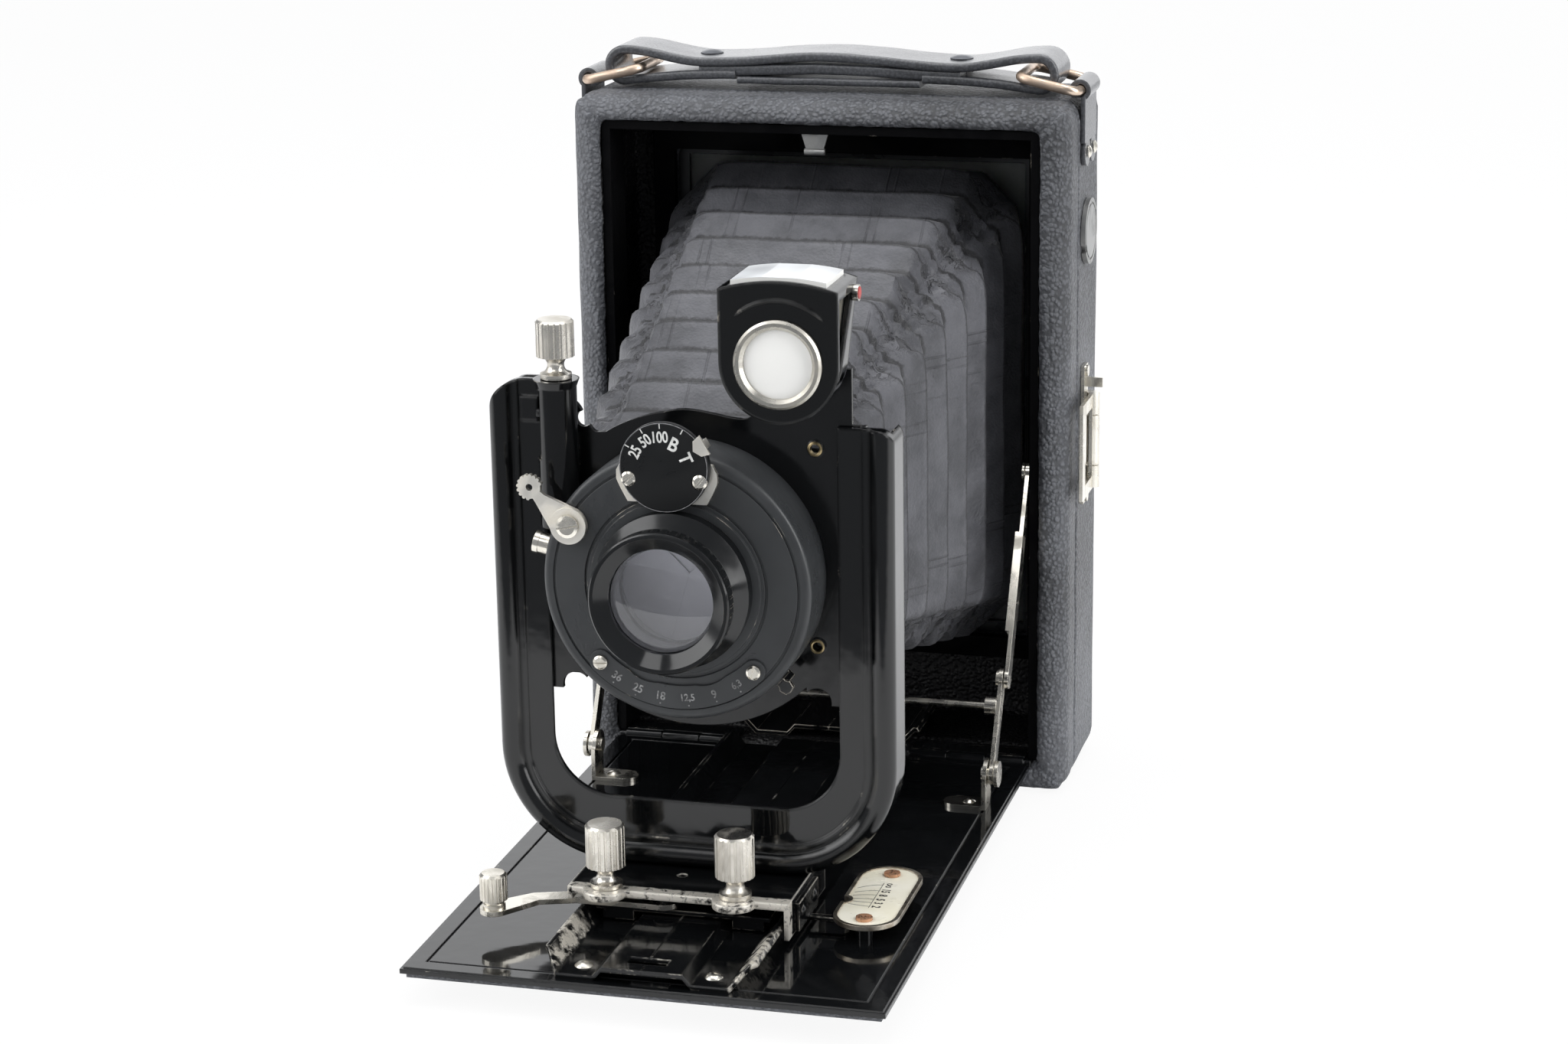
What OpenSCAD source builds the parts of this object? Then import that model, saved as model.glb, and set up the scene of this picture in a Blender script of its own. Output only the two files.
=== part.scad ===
// Folding plate camera for 9 x 12 cm plates, opened for use.
// Origin: middle of the body's bottom face. +Z up, the lens looks along -Y, millimetres.
// Frames used below: at_front() has y = 0 in the front plane of the body, at_bed() puts z = 0
// on the bed plate, at_standard() puts y = 0 in the front plane of the standard, and
// on_axis() looks along the lens axis with z forward.

/* [Body] */
// Width of the leather-covered body
body_w = 114; // [108:0.5:120]
// Height of the body
body_h = 158; // [157.6:0.1:162]
// Depth of the body without the focusing back
body_d = 37; // [34:0.5:44]
// Depth of the padded front frame, up to the joint line
front_d = 12; // [10:0.5:14]
// Rounding of the padded front edges
rim_r = 5; // [3:0.5:5.5]
// Rounding of the rear edges
rear_r = 1.5; // [0.5:0.1:2.5]
// Width of the leather border on each side of the opening
border_w = 7; // [6.5:0.1:7.5]
// Height of the sill below the opening
sill_h = 7.7; // [7:0.1:9]
// Height of the front opening
open_h = 144.5; // [144:0.1:145]
// Thickness of the side walls
wall = 5; // [3.5:0.1:5.5]
// Thickness of the rear wall round the picture window
back_wall = 3; // [2:0.5:4]
// Width of the picture window
window_w = 84; // [80:0.5:86]
// Height of the picture window
window_h = 114; // [108:0.5:116]
// Height of the picture window's middle over the body's bottom
window_z = 84; // [82:0.5:86]
// Width of the black liner seen inside the opening
liner_t = 2; // [1.5:0.1:2.2]
// Setback of the liner, the rabbet in which the closed bed lies
rabbet_d = 2; // [1.8:0.1:3]

/* [Bed] */
// Side play of the bed in the opening
bed_play = 1; // [0.6:0.1:1.4]
// Reach of the bed in front of the body
bed_l = 144.2; // [138:0.1:144.3]
// Thickness of the bed plate
bed_t = 1.2; // [1:0.1:1.6]
// Thickness of the leather under the bed
cover_t = 1.1; // [0.8:0.1:1.5]
// Radius of the bed's hinge pin
hinge_pin_r = 0.8; // [0.6:0.05:1]
// Wall of the hinge barrels
barrel_wall = 0.45; // [0.35:0.05:0.6]
// Width of the flat base of the track
track_w = 34.4; // [32:0.2:36]
// Height of the track's side flanges
track_rise = 4.2; // [3.5:0.1:4.4]
// Outward flare of the track's side flanges
track_flare = 3; // [2:0.1:3.4]
// Height of the raised middle of the track
hump_h = 2; // [1:0.1:2.1]
// Width of the raised middle of the track
hump_w = 16.4; // [15:0.2:18]
// Sheet thickness of the track and the carriage legs
sheet_t = 1; // [0.8:0.1:1.1]
// Radius of the tripod bush's bore, tap size of a 3/8 inch thread
bush_r = 3.97; // [3.5:0.01:4.2]
// Distance of the tripod bush in front of the body
bush_y = 62; // [50:1:80]

/* [Struts] */
// Distance of the strut's foot pivot in front of the body
strut_foot_y = 29; // [28:0.5:31]
// Height of the foot pivot over the bed
strut_foot_z = 7.3; // [6.5:0.1:8]
// Depth of the strut's upper pivot inside the body
strut_top_y = 5.5; // [5:0.1:7]
// Height of the upper pivot over the bed
strut_top_z = 66.9; // [65:0.1:69]
// Length of the lower link
strut_low_l = 21.4; // [21:0.1:22]
// Distance of the cross rod from the foot pivot
rod_at = 15.1; // [13:0.1:16]
// Width of the strut links
strut_w = 3.6; // [3:0.1:4.2]
// Thickness of the strut links
strut_t = 0.9; // [0.7:0.05:1]

/* [Standard] */
// Distance of the standard in front of the body
extension = 103.5; // [98:0.5:106]
// Height of the carriage deck over the bed
deck_z = 9; // [8.8:0.1:10]
// Thickness of the carriage deck
deck_t = 1.5; // [1.2:0.1:1.6]
// Overall width of the standard
std_w = 82.8; // [81:0.2:86]
// Height of its left arm over the deck
left_h = 100.8; // [99:0.5:103]
// Height of its right arm over the deck
right_h = 93.8; // [90:0.5:96]
// Outer radius of its lower corners
std_r = 24; // [20:0.5:26]
// Depth of its outer wall
std_d = 10; // [8:0.5:11]
// Width of the rounded bead along its outer edge
bead_w = 5; // [4:0.1:5.4]
// Width of its section up to the inner edge
flange_w = 11.4; // [11:0.1:12]
// Height of the window's lower edge over the deck
window_sill = 14.2; // [12:0.1:15]
// Height of the lens axis over the bed
axis_h = 71.9; // [70:0.1:73]
// Distance of the lens board's edge from the standard's outer side
board_in = 8.6; // [8.2:0.1:9.4]
// Thickness of the lens board
board_t = 1.2; // [1:0.1:1.3]
// Rise of the lens board
rise = 8; // [5:1:9]
// Radius of the fluted knobs on the carriage
pull_r = 4; // [3.5:0.1:4.3]
// Height of the fluted heads on the carriage
pull_h = 8.9; // [7:0.1:10]
// Number of flutes round a knob
flutes = 20; // [12:1:26]

/* [Shutter and lens] */
// Radius of the shutter housing
shutter_r = 27.3; // [26.5:0.1:27.6]
// Thickness of the shutter housing in front of the board
shutter_t = 12.4; // [11:0.1:13]
// Radius of the lens's front ring
lens_r = 14.2; // [13:0.1:15]
// How far the lens stands out of the shutter
lens_reach = 12; // [10:0.1:14]
// Radius of the front glass
glass_r = 10.3; // [9:0.1:10.8]
// Radius of the speed dial
dial_r = 9; // [8:0.1:9.5]
// Height of the dial's middle over the lens axis
dial_up = 24.9; // [24:0.1:26]

/* [Brilliant finder] */
// Width of the finder
finder_w = 23.6; // [22:0.2:24]
// Height of the finder over its lens axis
finder_up = 15; // [13:0.1:16]
// Depth of the finder at its top
finder_d = 16; // [13:0.1:17]
// Offset of the finder from the lens axis
finder_x = 22.3; // [22:0.1:22.6]
// Height of the finder's lens over the lens axis
finder_z = 46.4; // [45.5:0.1:48]
// Outer radius of the finder's lens ring
ring_r = 8.7; // [7.5:0.1:9]

/* [Bellows] */
// Number of pleats
pleats = 10; // [6:1:12]
// Depth of a pleat
pleat_d = 3.2; // [1.5:0.1:4]
// Half width of the rear end
rear_half_w = 43; // [41:0.1:43]
// Half height of the rear end
rear_half_h = 57.5; // [52:0.1:58]
// Half width of the front end
front_half_w = 27.5; // [24:0.1:28]
// Half height of the front end
front_half_h = 27.5; // [24:0.1:28]
// Corner cut at a ridge
ridge_cut = 13; // [8:0.5:16]
// Corner cut at a valley
valley_cut = 8; // [4:0.5:10]
// Thickness of the leather
bellows_t = 1; // [0.8:0.1:1.4]

/* [Handle] */
// Width of the strap
strap_w = 16; // [12:0.5:16.2]
// Thickness of the strap
strap_t = 2.2; // [1.8:0.1:2.4]
// Outer radius of the slack loops at the strap's ends
strap_loop_r = 4.5; // [4:0.1:5]
// Distance of the loops' middle from the body's side
loop_in = 9.4; // [8.5:0.1:11]
// Distance of the strap's rivets from the middle
rivet_x = 28.9; // [26:0.1:31]
// Wire radius of the strap's rings
wire_r = 1.1; // [0.9:0.1:1.3]
// Distance of the rings' outer bar from the body's side
ring_in = 0.4; // [0:0.1:0.6]
// Length of a ring from bar to bar
ring_l = 13.4; // [12:0.1:14]
// Width of a ring from wire to wire
ring_w = 19; // [19:0.5:22]
// Height of the outer bars over the body
ring_z = 1.6; // [1.5:0.1:1.8]
// Upward tilt of the rings
ring_tilt = 13; // [11:0.5:15]

/* [Side finder] */
// Width of the frame finder
frame_w = 14.5; // [12:0.1:14.6]
// Height of the frame finder
frame_h = 22; // [18:0.1:24]
// Width of its bars
frame_bar = 3; // [2:0.1:3.5]
// Height of its lower edge over the body's bottom
frame_z = 69; // [60:0.5:75]
// Distance of its hinge behind the front plane
frame_y = 17.5; // [17:0.1:19]
// Radius of the socket plug on the body's side
plug_r = 7.4; // [6.5:0.1:8]
// Height of the plug's middle
plug_z = 127; // [110:1:130]
// Distance of the plug's middle behind the front plane
plug_y = 21.5; // [20:0.5:24]

/* [Focusing back] */
// How far the focusing back reaches past the window on each side
back_side = 7.7; // [6:0.1:8]
// How far it reaches past the window above and below
back_end = 13; // [9:0.5:14]
// Thickness of its sliding frame
back_t = 3.6; // [3:0.1:4.2]
// Height of the hood in front of the focusing glass
hood_t = 5; // [3:0.1:8]

/* [Fits] */
// Clearance between pieces that pass each other
gap = 0.3; // [0.25:0.01:0.35]
// Radial running clearance of pins
run = 0.05; // [0.03:0.01:0.08]

/* [Hidden] */
$fn = 64;
eps = 0.01;

// Derived places
open_w = body_w - 2 * border_w;
bed_w = open_w - 2 * bed_play;
back_w = window_w + 2 * back_side;
back_h = window_h + 2 * back_end;
barrel_r = hinge_pin_r + barrel_wall;
hinge_y = 0.3;
hinge_z = -0.3;
inner_w = body_w - 2 * wall;
rear_y = body_d - back_wall;
liner_half = open_w / 2 - liner_t;
link_out = liner_half - gap;
link_in = link_out - 2 * strut_t - gap;
bracket_t = 0.9;
bracket_x = link_in - gap - bracket_t;
strut_dy = strut_top_y + strut_foot_y;
strut_dz = strut_top_z - strut_foot_z;
strut_l = sqrt(strut_dy * strut_dy + strut_dz * strut_dz);
strut_tilt = atan2(strut_dz, strut_dy);
board_y = 2.9;
track_front = 142;
hump_slot = [8, 3];
half_std = std_w / 2;
dial_x = -1;
carriage_w = 46;
shutter_back = -board_y;
shutter_bore = lens_r - 0.4;
shutter_front = shutter_t - board_y;
lens_front = shutter_front + lens_reach;
pull_x = [-15.3, 11.6];
pull_y = -11.8;
lever_pivot = [-4, -9];
lever_z = 4.8;
board_w = std_w - 2 * board_in;
tube_x = 6.8 - board_w / 2;
ring_x = body_w / 2 - ring_in;
loop_x = body_w / 2 - loop_in;
tube_y = -1.3;
spindle_r = 1.3;
nut_z = 31.2;
nut_t = 1.4;
fall = 4;
tube_r = 4;
tube_low = 9;
tube_top = left_h + deck_z - axis_h + 1;
finder_front = 12.5;
stud_r = 1.5;
// Shoulder of the finder's stud, behind the finder's front plane
stud_shoulder = finder_front - 0.7;
scale_x = 36.3;
scale_y = -96.3;
scale_l = 33.4;
scale_w = 13.5;
scale_rise = 3;
handle_y = 20;
lug_w = 12;
strap_low = body_h + 0.5;
loop_z = strap_low + strap_loop_r;
lug_bore = wire_r + gap;
nickel = "gainsboro";
enamel = "#1b1c1e";
leather = "#3a3c40";

// Frames
module at_front() { translate([0, -body_d / 2, 0]) children(); }
module at_bed() { at_front() translate([0, 0, sill_h]) children(); }
module at_standard() { at_bed() translate([0, -extension, 0]) children(); }
module on_axis() { at_standard() translate([0, 0, axis_h]) rotate([90, 0, 0]) children(); }
module both_sides() { children(); mirror([1, 0, 0]) children(); }
// Turns a drawing in x and z into a plate from y to y + t
module upright(y, t) {
  translate([0, y + t, 0]) rotate([90, 0, 0]) linear_extrude(t) children();
}
// Turns a drawing in y and z into a plate from x to x + t
module sideways(x, t) {
  translate([x, 0, 0]) rotate([90, 0, 90]) linear_extrude(t) children();
}
// A rectangle centred on the origin with round corners
module round_rect(w, h, r) {
  square([w - 2 * r, h], center = true);
  square([w, h - 2 * r], center = true);
  for (x = [-1, 1], y = [-1, 1]) translate([x * (w / 2 - r), y * (h / 2 - r)]) circle(r);
}
// A stadium along x between two centres
module slot_shape(l, r) {
  square([l, 2 * r], center = true);
  for (x = [-1, 1]) translate([x * l / 2, 0]) circle(r);
}
// A rectangle from y = 0 to y = d with front radius a and rear radius b
module case_outline(w, d, a, b) {
  translate([-w / 2, a]) square([w, d - a - b]);
  translate([-w / 2 + a, 0]) square([w - 2 * a, a + eps]);
  translate([-w / 2 + b, d - b - eps]) square([w - 2 * b, b + eps]);
  for (s = [-1, 1]) {
    translate([s * (w / 2 - a), a]) circle(a);
    translate([s * (w / 2 - b), d - b]) circle(b);
  }
}

// Body
module case_block() {
  intersection() {
    linear_extrude(body_h) case_outline(body_w, body_d, rim_r, rear_r);
    translate([-body_w / 2, 0, body_h / 2]) rotate([90, 90, 90])
      linear_extrude(body_w) case_outline(body_h, body_d, rim_r, rear_r);
    translate([0, 0, body_h / 2]) upright(0, body_d) round_rect(body_w, body_h, rim_r);
  }
}
module joint_groove() {
  groove = 0.45;
  difference() {
    translate([-body_w, front_d - groove / 2, -1]) cube([2 * body_w, groove, body_h + 2]);
    translate([-body_w / 2 + groove, 0, groove])
      cube([body_w - 2 * groove, body_d, body_h - 2 * groove]);
  }
}
module case_slice(y0, y1) {
  intersection() {
    case_block();
    translate([-body_w, y0, -1]) cube([2 * body_w, y1 - y0, body_h + 2]);
  }
}
module front_shell() {
  edge = 1.4;
  color(leather) at_front() difference() {
    case_slice(0, front_d);
    translate([-open_w / 2, -1, sill_h]) cube([open_w, front_d + 2, open_h]);
    for (s = [-1, 1]) translate([s * open_w / 2, 0, sill_h])
      rotate([0, 0, 45]) cube([edge, edge, 2 * (open_h - edge)], center = true);
    translate([0, 0, sill_h + open_h]) rotate([45, 0, 0]) cube([open_w, edge, edge], center = true);
    translate([-open_w / 2, hinge_y, sill_h + hinge_z]) rotate([0, 90, 0])
      cylinder(r = barrel_r + gap, h = open_w);
    joint_groove();
  }
}
module rear_shell() {
  color(leather) at_front() difference() {
    case_slice(front_d, body_d);
    translate([-inner_w / 2, front_d - 1, sill_h]) cube([inner_w, rear_y - front_d + 1, open_h]);
    translate([0, 0, window_z]) upright(rear_y - 1, back_wall + 2)
      square([window_w, window_h], center = true);
    joint_groove();
    // Seat of the plug's shank in the right wall
    translate([body_w / 2 - wall - 1, plug_y, plug_z]) rotate([0, 90, 0])
      cylinder(r = bush_r + run, h = wall + 2);
  }
}
module opening_liner() {
  color(enamel) at_bed() upright(rabbet_d, front_d - rabbet_d) difference() {
    translate([-open_w / 2, 0]) square([open_w, open_h]);
    translate([-liner_half, -1]) square([2 * liner_half, open_h - liner_t + 1]);
  }
}
module bellows_frame() {
  frame_t = 2.5;
  edge = 5;
  color(enamel) at_front() translate([0, 0, window_z]) upright(rear_y - frame_t, frame_t)
    difference() {
      square([window_w + 2 * edge, window_h + 2 * edge], center = true);
      square([window_w, window_h], center = true);
    }
}
// Section of the sheet metal track, from which the bed's track and the case's track are cut
module track_section() {
  foot = track_w / 2;
  hump = hump_w / 2;
  slope = 1.8;
  top = [[foot, 0], [foot + track_flare, track_rise - sheet_t],
    [foot + track_flare + sheet_t, track_rise - sheet_t]];
  half = concat([[0, hump_h], [hump, hump_h], [hump + slope, 0]], top);
  upper = [for (p = half) [p[0], p[1] + sheet_t]];
  lower = [for (i = [len(half) - 1:-1:0]) [half[i][0] + (i > 2 ? sheet_t * 0.45 : 0), half[i][1]]];
  side = concat(upper, lower);
  both_sides() polygon(side);
}
module track_piece(y0, y1) {
  translate([0, y1, 0]) rotate([90, 0, 0]) linear_extrude(y1 - y0) track_section();
}
module case_track() {
  color(enamel) at_bed() track_piece(front_d / 2, rear_y - 4);
}
// Knuckle x-ranges of the bed hinge, shared by the fixed and the moving leaf
knuckle_w = 9;
knuckles_from = liner_half - gap - 3 * knuckle_w;
fixed_knuckles = [knuckles_from, knuckles_from + 2 * knuckle_w];
module barrel(x, w, bore) {
  translate([x, hinge_y, hinge_z]) rotate([0, 90, 0]) difference() {
    cylinder(r = barrel_r, h = w, $fn = 32);
    translate([0, 0, -1]) cylinder(r = bore, h = w + 2, $fn = 32);
  }
}
module bed_hinge() {
  leaf_t = 0.8;
  color("dimgray") at_bed() both_sides() {
    for (x = fixed_knuckles) {
      barrel(x, knuckle_w - gap, hinge_pin_r - eps);
      translate([x, hinge_y + hinge_pin_r, hinge_z + barrel_r - leaf_t])
        cube([knuckle_w - gap, barrel_r, leaf_t]);
    }
    translate([fixed_knuckles[0], hinge_y + barrel_r + gap, 0])
      cube([fixed_knuckles[1] - fixed_knuckles[0] + knuckle_w - gap, 5, leaf_t]);
    translate([fixed_knuckles[0], hinge_y, hinge_z]) rotate([0, 90, 0])
      cylinder(r = hinge_pin_r, h = bed_w / 2 - fixed_knuckles[0], $fn = 32);
  }
}
// Rivets and pivots that the case carries
module case_rivets() {
  lug_rivet = 1.4;
  color(nickel) {
    at_bed() both_sides() translate([0, strut_top_y, strut_top_z]) rotate([0, 90, 0]) {
      translate([0, 0, link_out - strut_t - 0.8]) cylinder(r = 2.2, h = 0.8 - gap);
      translate([0, 0, link_out - strut_t - gap - eps])
        cylinder(r = 1.2, h = strut_t + 2 * gap + eps);
    }
    at_front() both_sides() for (y = [-1, 1])
      translate([body_w / 2 + 1.2, handle_y + y * (lug_w / 2 - 2.6), body_h - 12.3])
        rotate([0, 90, 0]) intersection() {
          cylinder(r = lug_rivet, h = 0.8);
          translate([0, 0, -1.2]) sphere(2);
        }
    at_front() for (z = [-2.6, frame_h + 4.6])
      translate([body_w / 2 + 0.8, frame_y + 1, frame_z + z]) rotate([0, 90, 0])
        cylinder(r = 1.3, h = 0.5);
  }
}
// Leather-faced metal lugs, folded over the rings' outer bars
module strap_lugs() {
  lug_t = 1;
  color(enamel) at_front() both_sides() {
    difference() {
      union() {
        translate([body_w / 2, handle_y - lug_w / 2 - 1, body_h - 10]) cube([lug_t, lug_w + 2, 11]);
        for (y = [-1, 1]) translate([body_w / 2, handle_y + y * (lug_w / 2 - 2.6), body_h - 12.3])
          rotate([0, 90, 0]) cylinder(r = 3.2, h = lug_t);
        translate([ring_x, handle_y - lug_w / 2, body_h + ring_z]) rotate([-90, 0, 0])
          cylinder(r = lug_bore + lug_t, h = lug_w);
      }
      translate([ring_x, handle_y - lug_w, body_h + ring_z]) rotate([-90, 0, 0])
        cylinder(r = lug_bore, h = 2 * lug_w);
      translate([body_w / 2 - 5, handle_y - lug_w, body_h - 20]) cube([5, 2 * lug_w, 20]);
    }
  }
}
// Rectangular ring of round wire; its outer bar lies on the local y axis, x points inward
module wire_ring() {
  r = 3;
  color("#b9a58c") rotate([0, ring_tilt, 0]) for (s = [-1, 1]) {
    translate([0, s * eps, 0]) rotate([-90 * s, 0, 0]) cylinder(r = wire_r, h = ring_w / 2 - r - eps);
    translate([-ring_l, s * eps, 0]) rotate([-90 * s, 0, 0])
      cylinder(r = wire_r, h = ring_w / 2 - r - eps);
    translate([-ring_l + r, s * ring_w / 2, 0]) rotate([0, 90, 0])
      cylinder(r = wire_r, h = ring_l - 2 * r);
    for (x = [-r, -ring_l + r]) translate([x, s * (ring_w / 2 - r), 0])
      rotate([0, 0, (x == -r ? 0 : 90) + (s > 0 ? 0 : (x == -r ? -90 : 90))])
        rotate_extrude(angle = 90) translate([r, 0]) circle(wire_r, $fn = 24);
  }
  rotate([0, ring_tilt, 0]) for (x = [0, -ring_l]) translate([x, 0, 0]) rotate([90, 0, 0])
    cylinder(r = wire_r, h = 4 * eps, center = true);
}
module ring_right() {
  at_front() translate([ring_x, handle_y, body_h + ring_z]) wire_ring();
}
module ring_left() {
  at_front() mirror([1, 0, 0]) translate([ring_x, handle_y, body_h + ring_z]) wire_ring();
}
// Top line of the strap: high in the middle and over the loops, drawn down at its rivets
strap_dip = 6.6;
function strap_top(x) = strap_low + strap_dip + (abs(x) < rivet_x
  ? 0.85 * (1 + cos(180 * x / rivet_x))
  : (strap_loop_r - strap_dip / 2) * (1 - cos(180 * (abs(x) - rivet_x) / (loop_x - rivet_x))));
function arc(x, y, r, a, b, n) = [for (i = [0:n]) let (t = a + (b - a) * i / n)
  [x + r * cos(t), y + r * sin(t)]];
module strap_profile() {
  steps = 20;
  pad = 21.2;
  step = 0.8;
  xs = [for (i = [-steps + 1:steps - 1]) loop_x * i / steps];
  inner_r = strap_loop_r - strap_t;
  difference() {
    polygon(concat([for (x = xs) [x, strap_top(x)]], arc(loop_x, loop_z, strap_loop_r, 90, -90, 18),
      [[pad, strap_low + step], [pad, strap_low + 0.4], [-pad, strap_low + 0.4], [-pad, strap_low + step]],
      arc(-loop_x, loop_z, strap_loop_r, 270, 90, 18)));
    // Slack loops, narrowing to where the layers are riveted
    for (s = [-1, 1]) mirror([s < 0 ? 1 : 0, 0])
      polygon(concat(arc(loop_x, loop_z, inner_r, 90, -90, 12),
        [[loop_x - 14.5, loop_z - 0.6], [loop_x - 14.5, loop_z - 0.4]]));
  }
}
module handle_strap() {
  color("#26272a") at_front() difference() {
    upright(handle_y - strap_w / 2, strap_w) strap_profile();
    for (s = [-1, 1]) translate([s * rivet_x, handle_y, body_h]) cylinder(r = 1.25, h = 20);
  }
}
module handle_rivets() {
  color("#303236") at_front() for (s = [-1, 1]) translate([s * rivet_x, handle_y, 0]) {
    head_r = 2.6;
    seat = strap_top(rivet_x + head_r);
    translate([0, 0, strap_low + 1]) cylinder(r = 1.25, h = seat - strap_low - 1 + eps);
    translate([0, 0, seat]) intersection() {
      cylinder(r = head_r, h = 1);
      translate([0, 0, -5.2]) sphere(6);
    }
  }
}
// Spring catch for the closed bed, hung under the top of the liner
module bed_catch() {
  top = sill_h + open_h - liner_t - 0.05;
  color(nickel) at_front() translate([-0.7, rabbet_d + 0.6, 0]) {
    upright(0, 0.9) polygon([[-3, top], [3, top], [1.9, top - 3.6], [-1.9, top - 3.6]]);
    translate([-2.3, 0.1, top - 3.9]) rotate([0, 90, 0]) cylinder(r = 0.75, h = 4.6);
  }
}

// Side of the body
module finder_hinge() {
  plate_t = 0.8;
  axis_x = body_w / 2 + plate_t + 1.8;
  ends = 5;
  color(nickel) at_front() {
    difference() {
      union() {
        translate([body_w / 2, frame_y - 1.5, frame_z - 4]) cube([plate_t, 4.6, frame_h + 10]);
        for (z = [0, frame_h - ends]) {
          translate([axis_x, frame_y, frame_z + z]) cylinder(r = 1.5, h = ends);
          translate([body_w / 2, frame_y, frame_z + z]) cube([axis_x - body_w / 2, 1.5, ends]);
        }
        // Sighting tab at the upper end
        translate([body_w / 2, frame_y + 0.4, frame_z + frame_h + 1]) cube([4.6, 0.8, 2.2]);
      }
      translate([axis_x, frame_y, frame_z - 1]) cylinder(r = 0.7 - eps, h = frame_h + 2);
    }
    translate([axis_x, frame_y, frame_z]) cylinder(r = 0.7, h = frame_h);
  }
}
module finder_frame() {
  plate_t = 0.8;
  axis_x = body_w / 2 + plate_t + 1.8;
  ends = 5 + gap;
  color(nickel) at_front() difference() {
    union() {
      sideways(axis_x - 0.5, plate_t) difference() {
        translate([frame_y - frame_w, frame_z]) square([frame_w, frame_h]);
        translate([frame_y - frame_w + frame_bar, frame_z + frame_bar])
          square([frame_w - frame_bar - 2.6, frame_h - 2 * frame_bar]);
      }
      translate([axis_x, frame_y, frame_z + ends]) cylinder(r = 1.5, h = frame_h - 2 * ends);
    }
    translate([axis_x, frame_y, frame_z - 1]) cylinder(r = 0.7 + run, h = frame_h + 2);
    for (z = [-1, frame_h - ends]) translate([axis_x - 3, frame_y - 1.5 - gap, frame_z + z])
      cube([6, 5, ends + 1]);
  }
}
// Coin-slotted plug in the side's tripod socket
module socket_plug() {
  color("silver") at_front() translate([body_w / 2, plug_y, plug_z]) rotate([0, 90, 0]) {
    difference() {
      cylinder(r = plug_r, h = 1.1);
      translate([0, 0, 0.8]) difference() {
        cylinder(r = plug_r - 0.9, h = 1);
        translate([0, 0, -1]) cylinder(r = plug_r - 1.4, h = 3);
      }
      for (s = [-1, 1]) rotate([0, 0, 25]) translate([0, s * plug_r, 0.5])
        cube([2, 2.4, 2], center = true);
    }
    translate([0, 0, -wall + 0.5]) cylinder(r = bush_r, h = wall - 0.5);
  }
}

// Focusing back
module plate_rails() {
  rail = 3;
  lip = 1;
  color(enamel) at_front() translate([0, 0, window_z]) difference() {
    upright(body_d, back_t + 2 * gap + lip) difference() {
      translate([-back_w / 2 - gap - rail, -back_h / 2 - rail]) square([back_w + 2 * gap + 2 * rail, back_h]);
      translate([-back_w / 2 + 3, -back_h / 2 + 3]) square([back_w - 6, back_h + 6]);
    }
    translate([-back_w / 2 - gap, body_d - 1, -back_h / 2])
      cube([back_w + 2 * gap, back_t + 2 * gap + 1, back_h + 6]);
  }
}
module back_frame() {
  hood_w = window_w + 6;
  hood_h = window_h + 6;
  shell = 1.2;
  color("#2b2c30") at_front() translate([0, 0, window_z]) difference() {
    union() {
      upright(body_d + gap, back_t) translate([0, gap]) round_rect(back_w, back_h, 2);
      upright(body_d + gap + back_t - eps, hood_t) round_rect(hood_w, hood_h, 2);
    }
    upright(body_d - 1, back_t + 1) square([window_w - 4, window_h - 4], center = true);
    upright(body_d + gap + 1.2, back_t + hood_t - shell - 1.2)
      square([hood_w - 2 * shell, hood_h - 2 * shell], center = true);
    upright(body_d + gap + back_t, hood_t + 1) square([window_w - 4, window_h - 4], center = true);
  }
}
// Lid over the focusing glass, hinged along its lower edge
module hood_lid() {
  lid_w = window_w + 2;
  lid_h = window_h + 2;
  lid_t = 1.2;
  barrel = 0.9;
  lid_y = body_d + gap + back_t + hood_t + gap;
  color("#2b2c30") at_front() translate([0, 0, window_z]) {
    upright(lid_y, lid_t) round_rect(lid_w, lid_h, 2);
    // Thumb catch at the upper edge
    translate([-5, lid_y + lid_t - eps, lid_h / 2 - 3]) cube([10, 1.4, 1.6]);
    translate([-lid_w / 2 + 6, lid_y + barrel, -lid_h / 2]) rotate([0, 90, 0])
      cylinder(r = barrel, h = lid_w - 12);
  }
}
module focusing_glass() {
  glass_t = 1.8;
  color("lightcyan") at_front() translate([0, 0, window_z]) upright(body_d + gap + 1.2, glass_t)
    square([window_w + 6 - 2.4 - 2 * gap, window_h + 6 - 2.4 - 2 * gap], center = true);
}

// Bed
module bed_plate() {
  rear = 1.3;
  bevel = 0.6;
  moving = fixed_knuckles[0] + knuckle_w;
  color(enamel) at_bed() difference() {
    union() {
      translate([0, -bed_l, -bed_t]) {
        translate([-bed_w / 2, 0, 0]) cube([bed_w, bed_l - rear, bed_t - 0.25]);
        // Bevelled border round the raised field
        translate([-bed_w / 2 + bevel, bevel, 0]) cube([bed_w - 2 * bevel, bed_l - rear - bevel, bed_t]);
      }
      both_sides() {
        barrel(moving, knuckle_w - gap, hinge_pin_r + run);
        translate([moving, -rear - 0.1, -bed_t]) cube([knuckle_w - gap, rear - 0.5, bed_t]);
      }
    }
    // Rolled line inside the border
    line_in = 4;
    difference() {
      translate([-bed_w / 2 + line_in, -bed_l + line_in, -0.3])
        cube([bed_w - 2 * line_in, bed_l - 2 * line_in, 1]);
      translate([-bed_w / 2 + line_in + 0.6, -bed_l + line_in + 0.6, -1])
        cube([bed_w - 2 * line_in - 1.2, bed_l - 2 * line_in - 1.2, 3]);
    }
    translate([0, -bush_y, -bed_t - 1]) cylinder(r = 6.4, h = bed_t + 2);
    both_sides() translate([fixed_knuckles[0] - 0.5, hinge_y, hinge_z]) rotate([0, 90, 0])
      cylinder(r = hinge_pin_r + run, h = bed_w);
  }
}
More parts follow.
